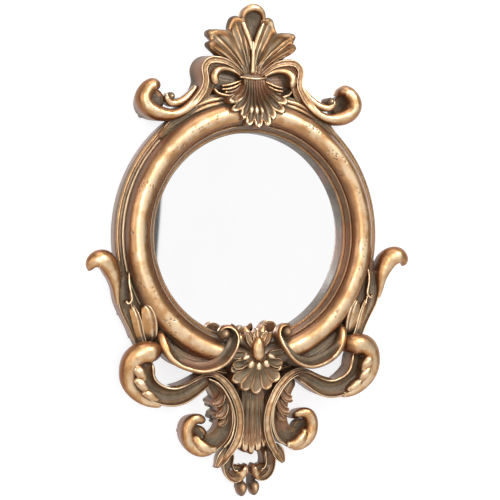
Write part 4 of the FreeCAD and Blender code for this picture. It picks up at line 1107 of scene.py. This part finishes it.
def sawn_ground(node, middle, sides):
    """The solid of a ground, kept only where it stands behind its carvings."""
    work = bmesh.new()
    work.from_mesh(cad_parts[node].data)
    bmesh.ops.remove_doubles(work, verts=work.verts, dist=0.01 * MM)
    work.verts.index_update()
    points = [tuple(vert.co) for vert in work.verts]
    faces = [[vert.index for vert in face.verts] for face in work.faces]
    work.free()
    piece = new_object("sawn_" + node, points, faces)
    places, polygons = [], []
    other_side = [(points * (-1.0, 1.0, 1.0), faces) for points, faces in sides]
    for points, faces in middle + sides + other_side:
        polygons += [tuple(len(places) + k for k in face) for face in faces]
        places += [(x * MM, -depth * MM, (z - KEY_Z) * MM) for x, depth, z in points.tolist()]
    shaped(piece, new_object("kept", places, polygons), "INTERSECT")
    return piece


# What is kept of the grounds, right half: lines with x, z and half a width, and posts for the screws.
CREST_POSTS = ((12.8, 179), (30, 213.5), (33, 186.5), (33.5, 163.5), (58.5, 176), (84, 152.5), (124, 134.5))
CREST_KEPT = (
    (0, 146, 60), (0, 158, 60), (0, 168, 56), (0, 180, 52), (0, 191, 42), (0, 202, 24), (0, 214, 18),
    (0, 226, 12), (0, 238, 8), (0, 248, 4),
)
APRON_KEPT = (
    (0, -146, 64), (0, -156, 64), (0, -164, 50), (0, -174, 32), (0, -186, 24), (0, -200, 18),
    (0, -220, 16), (0, -236, 16), (0, -246, 13),
)
TAIL_KEPT = (
    (16, -240, 3), (21, -252, 2.6), (22, -262, 2.6), (18, -270, 2.6), (12, -274, 3), (7.6, -281, 3),
    (7.6, -288, 3),
)
KNOB_KEPT = (
    (121, -114, 5), (123, -123, 5), (130, -129, 4.4), (137, -135, 4.2), (141, -145, 4.2),
    (139.5, -156, 4.2), (132, -166, 4.2), (122, -173, 4.2),
)
WING_KEPT = ((8, 204, 5), (18, 208.6, 4.4), (26, 212, 3.8), (31, 214, 3.2))
CURL_KEPT = ((76, 142, 4), (80, 147, 3.6), (83, 151.4, 3.4), (85, 154, 3.2))
RING_KEPT_R = 162
RING_KEPT = []
for degrees in range(104, 181, 4):
    turn = math.radians(degrees)
    RING_KEPT.append((RING_KEPT_R * math.sin(turn), RING_KEPT_R * math.cos(turn), 4))
APRON_POSTS = (
    (156, -58), (149.5, -86), (124, -106), (105.5, -130), (66, -150), (97, -178.5), (139, -152),
    (132, -128), (34.5, -195), (78.6, -221), (44.5, -192.5), (43.5, -205.8), (17.5, -212), (23, -266),
    (7.6, -290),
)
grounds = {
    "crest_ground": sawn_ground(
        "crest_ground", [bar(CREST_KEPT)],
        [bar(CREST_SCROLL[3:13], 2.5), bar(WING_KEPT), bar(CURL_KEPT), post(117, 147, 9.0)]
        + [post(x, z, POST_R) for x, z in CREST_POSTS]),
    "apron_ground": sawn_ground(
        "apron_ground", [bar(APRON_KEPT)],
        [bar(SIDE_STEM[1:], 4.0), bar(BUD_LEAF, 2.0), bar(CRADLE[:8], 4.0), bar(FOOT, 5.0),
         bar(STRIP[3:11], 2.0), bar(PENDANT, 4.0), bar(TAIL_KEPT), bar(KNOB_KEPT), bar(RING_KEPT)]
        + [post(x, z, POST_R) for x, z in APRON_POSTS]),
}


def fit(piece, node, look):
    """Gives a piece its look and sets it in the place of its node."""
    piece.data.materials.clear()
    piece.data.materials.append(look)
    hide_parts(node)
    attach(piece, "frame")


for node, piece in grounds.items():
    fit(piece, node, LOOKS[node])
for name, shells in pieces.items():
    is_ring = name == "frame_ring"
    piece = build("turned_ring" if is_ring else "carved_" + name, shells)
    if is_ring:
        recess_plate(piece)
    fit(piece, name, GILT_RING if is_ring else GILT)


# Camera, at the photograph's place.

LENS = 104.7
CAMERA_AT = Vector((-0.6606, -1.5409, -0.1399))
CAMERA_AIM = Vector((-0.00144, -0.025, -0.18412))
CAMERA_ROLL = math.radians(0.06)
scene = bpy.context.scene
camera = bpy.data.objects.new("camera", bpy.data.cameras.new("camera"))
bpy.context.collection.objects.link(camera)
scene.camera = camera
camera.data.sensor_width = 36.0
camera.data.lens = LENS
camera.location = CAMERA_AT
camera.rotation_euler = (CAMERA_AIM - CAMERA_AT).to_track_quat("-Z", "Y").to_euler()
camera.rotation_euler.rotate_axis("Z", CAMERA_ROLL)


# Stage: a white wall that shows from the front only, and a pale floor.

def stage_plane(name, corners, colour, glow):
    """Pale plane that glows for the camera and in mirrors, and is clear from behind."""
    mesh = bpy.data.meshes.new(name)
    mesh.from_pydata(corners, [], [(0, 1, 2, 3)])
    plane = bpy.data.objects.new(name, mesh)
    bpy.context.collection.objects.link(plane)
    paint = Paint(name)
    rays = paint.add("ShaderNodeLightPath").outputs
    seen = paint.math("MAXIMUM", rays["Is Camera Ray"], rays["Is Glossy Ray"])
    seen = paint.math("MAXIMUM", seen, rays["Is Transmission Ray"])
    paint.set(Base_Color=colour, Roughness=0.9, Specular_IOR_Level=0.0, Emission_Color=(1.0, 1.0, 1.0))
    paint.put(paint.shader, "Emission Strength", paint.times(seen, glow))
    clear = paint.add("ShaderNodeBsdfTransparent")
    either = paint.add("ShaderNodeMixShader")
    paint.put(either, 0, paint.add("ShaderNodeNewGeometry").outputs["Backfacing"])
    paint.put(either, 1, paint.shader.outputs[0])
    paint.put(either, 2, clear.outputs[0])
    paint.put(paint.nodes["Material Output"], "Surface", either.outputs[0])
    mesh.materials.append(paint.material)
    return plane


WALL_Y = 0.0015
FLOOR_Z = -1.35
WIDE = 4.0
WALL_COLOUR, WALL_GLOW = (0.40, 0.395, 0.42), 0.80
FLOOR_COLOUR, FLOOR_GLOW = (0.82, 0.81, 0.80), 0.30
wall = stage_plane(
    "wall",
    [(-WIDE, WALL_Y, FLOOR_Z), (WIDE, WALL_Y, FLOOR_Z), (WIDE, WALL_Y, WIDE), (-WIDE, WALL_Y, WIDE)],
    WALL_COLOUR, WALL_GLOW,
)
wall.visible_diffuse = False
wall.visible_shadow = False
stage_plane(
    "floor",
    [(-WIDE, -WIDE, FLOOR_Z), (WIDE, -WIDE, FLOOR_Z), (WIDE, WIDE, FLOOR_Z), (-WIDE, WIDE, FLOOR_Z)],
    FLOOR_COLOUR, FLOOR_GLOW,
)

ROOM_DIM = 0.10
ROOM_GAP = 0.9
ROOM_TOP = 0.35
ROOM_SPREAD = 0.30


def studio(name):
    """Pale room: bright ahead of the wall and overhead, with one dim gap, dim to the sides."""
    world = bpy.data.worlds.new(name)
    world.use_nodes = True
    room = Nodes(world.node_tree)
    way = room.add("ShaderNodeSeparateXYZ")
    room.put(way, 0, room.add("ShaderNodeTexCoord").outputs["Generated"])
    rays = room.add("ShaderNodeLightPath").outputs
    shown = room.math("MAXIMUM", rays["Is Glossy Ray"], rays["Is Transmission Ray"])
    ahead = room.band(way.outputs["Y"], -0.40, -0.88, ROOM_DIM, 1.0)
    forward = room.math("MINIMUM", way.outputs["Y"], -0.05)
    slant = room.math("DIVIDE", way.outputs["X"], forward)
    lean = room.math("DIVIDE", way.outputs["Z"], forward)
    edge = room.minus(slant, room.times(lean, 0.08))
    gap = room.times(room.band(edge, -0.3645, -0.3625), room.band(slant, -0.30, -0.34))
    ahead = room.times(ahead, room.minus(1.0, room.times(gap, ROOM_GAP)))
    above = room.band(way.outputs["Z"], 0.35, 0.90, 0.0, ROOM_TOP)
    mirror = room.math("MINIMUM", room.plus(ahead, above), 1.0)
    spread = room.minus(room.minus(1.0, rays["Is Camera Ray"]), shown)
    strength = room.times(shown, mirror)
    strength = room.plus(strength, room.times(spread, ROOM_SPREAD))
    strength = room.plus(strength, rays["Is Camera Ray"])
    background = room.nodes["Background"]
    room.put(background, "Color", (1.0, 1.0, 1.0, 1.0))
    room.put(background, "Strength", strength)
    return world


scene.world = studio("studio")

# Softboxes: name, place, width, height, watts, colour. All look at the middle of the object.
MIDDLE = Vector((0.0, 0.0, -0.17))
LAMPS = (
    ("key", (0.9, -1.8, 1.1), 0.7, 0.7, 25.0, (1.0, 0.98, 0.95)),
    ("fill", (-1.75, -1.15, 0.3), 1.0, 1.6, 11.0, (0.97, 0.98, 1.0)),
    ("panel", (-0.40, -1.85, 0.05), 0.3, 0.9, 6.5, (1.0, 0.99, 0.97)),
    ("top", (0.0, -0.6, 1.6), 1.2, 0.8, 8.0, (1.0, 1.0, 1.0)),
)
for name, place, wide, high, watts, colour in LAMPS:
    lamp = bpy.data.lights.new(name, "AREA")
    lamp.shape = "RECTANGLE"
    lamp.size = wide
    lamp.size_y = high
    lamp.energy = watts
    lamp.color = colour
    item = bpy.data.objects.new(name, lamp)
    item.location = place
    item.rotation_euler = (MIDDLE - Vector(place)).to_track_quat("-Z", "Y").to_euler()
    bpy.context.collection.objects.link(item)
scene.view_settings.view_transform = "Standard"
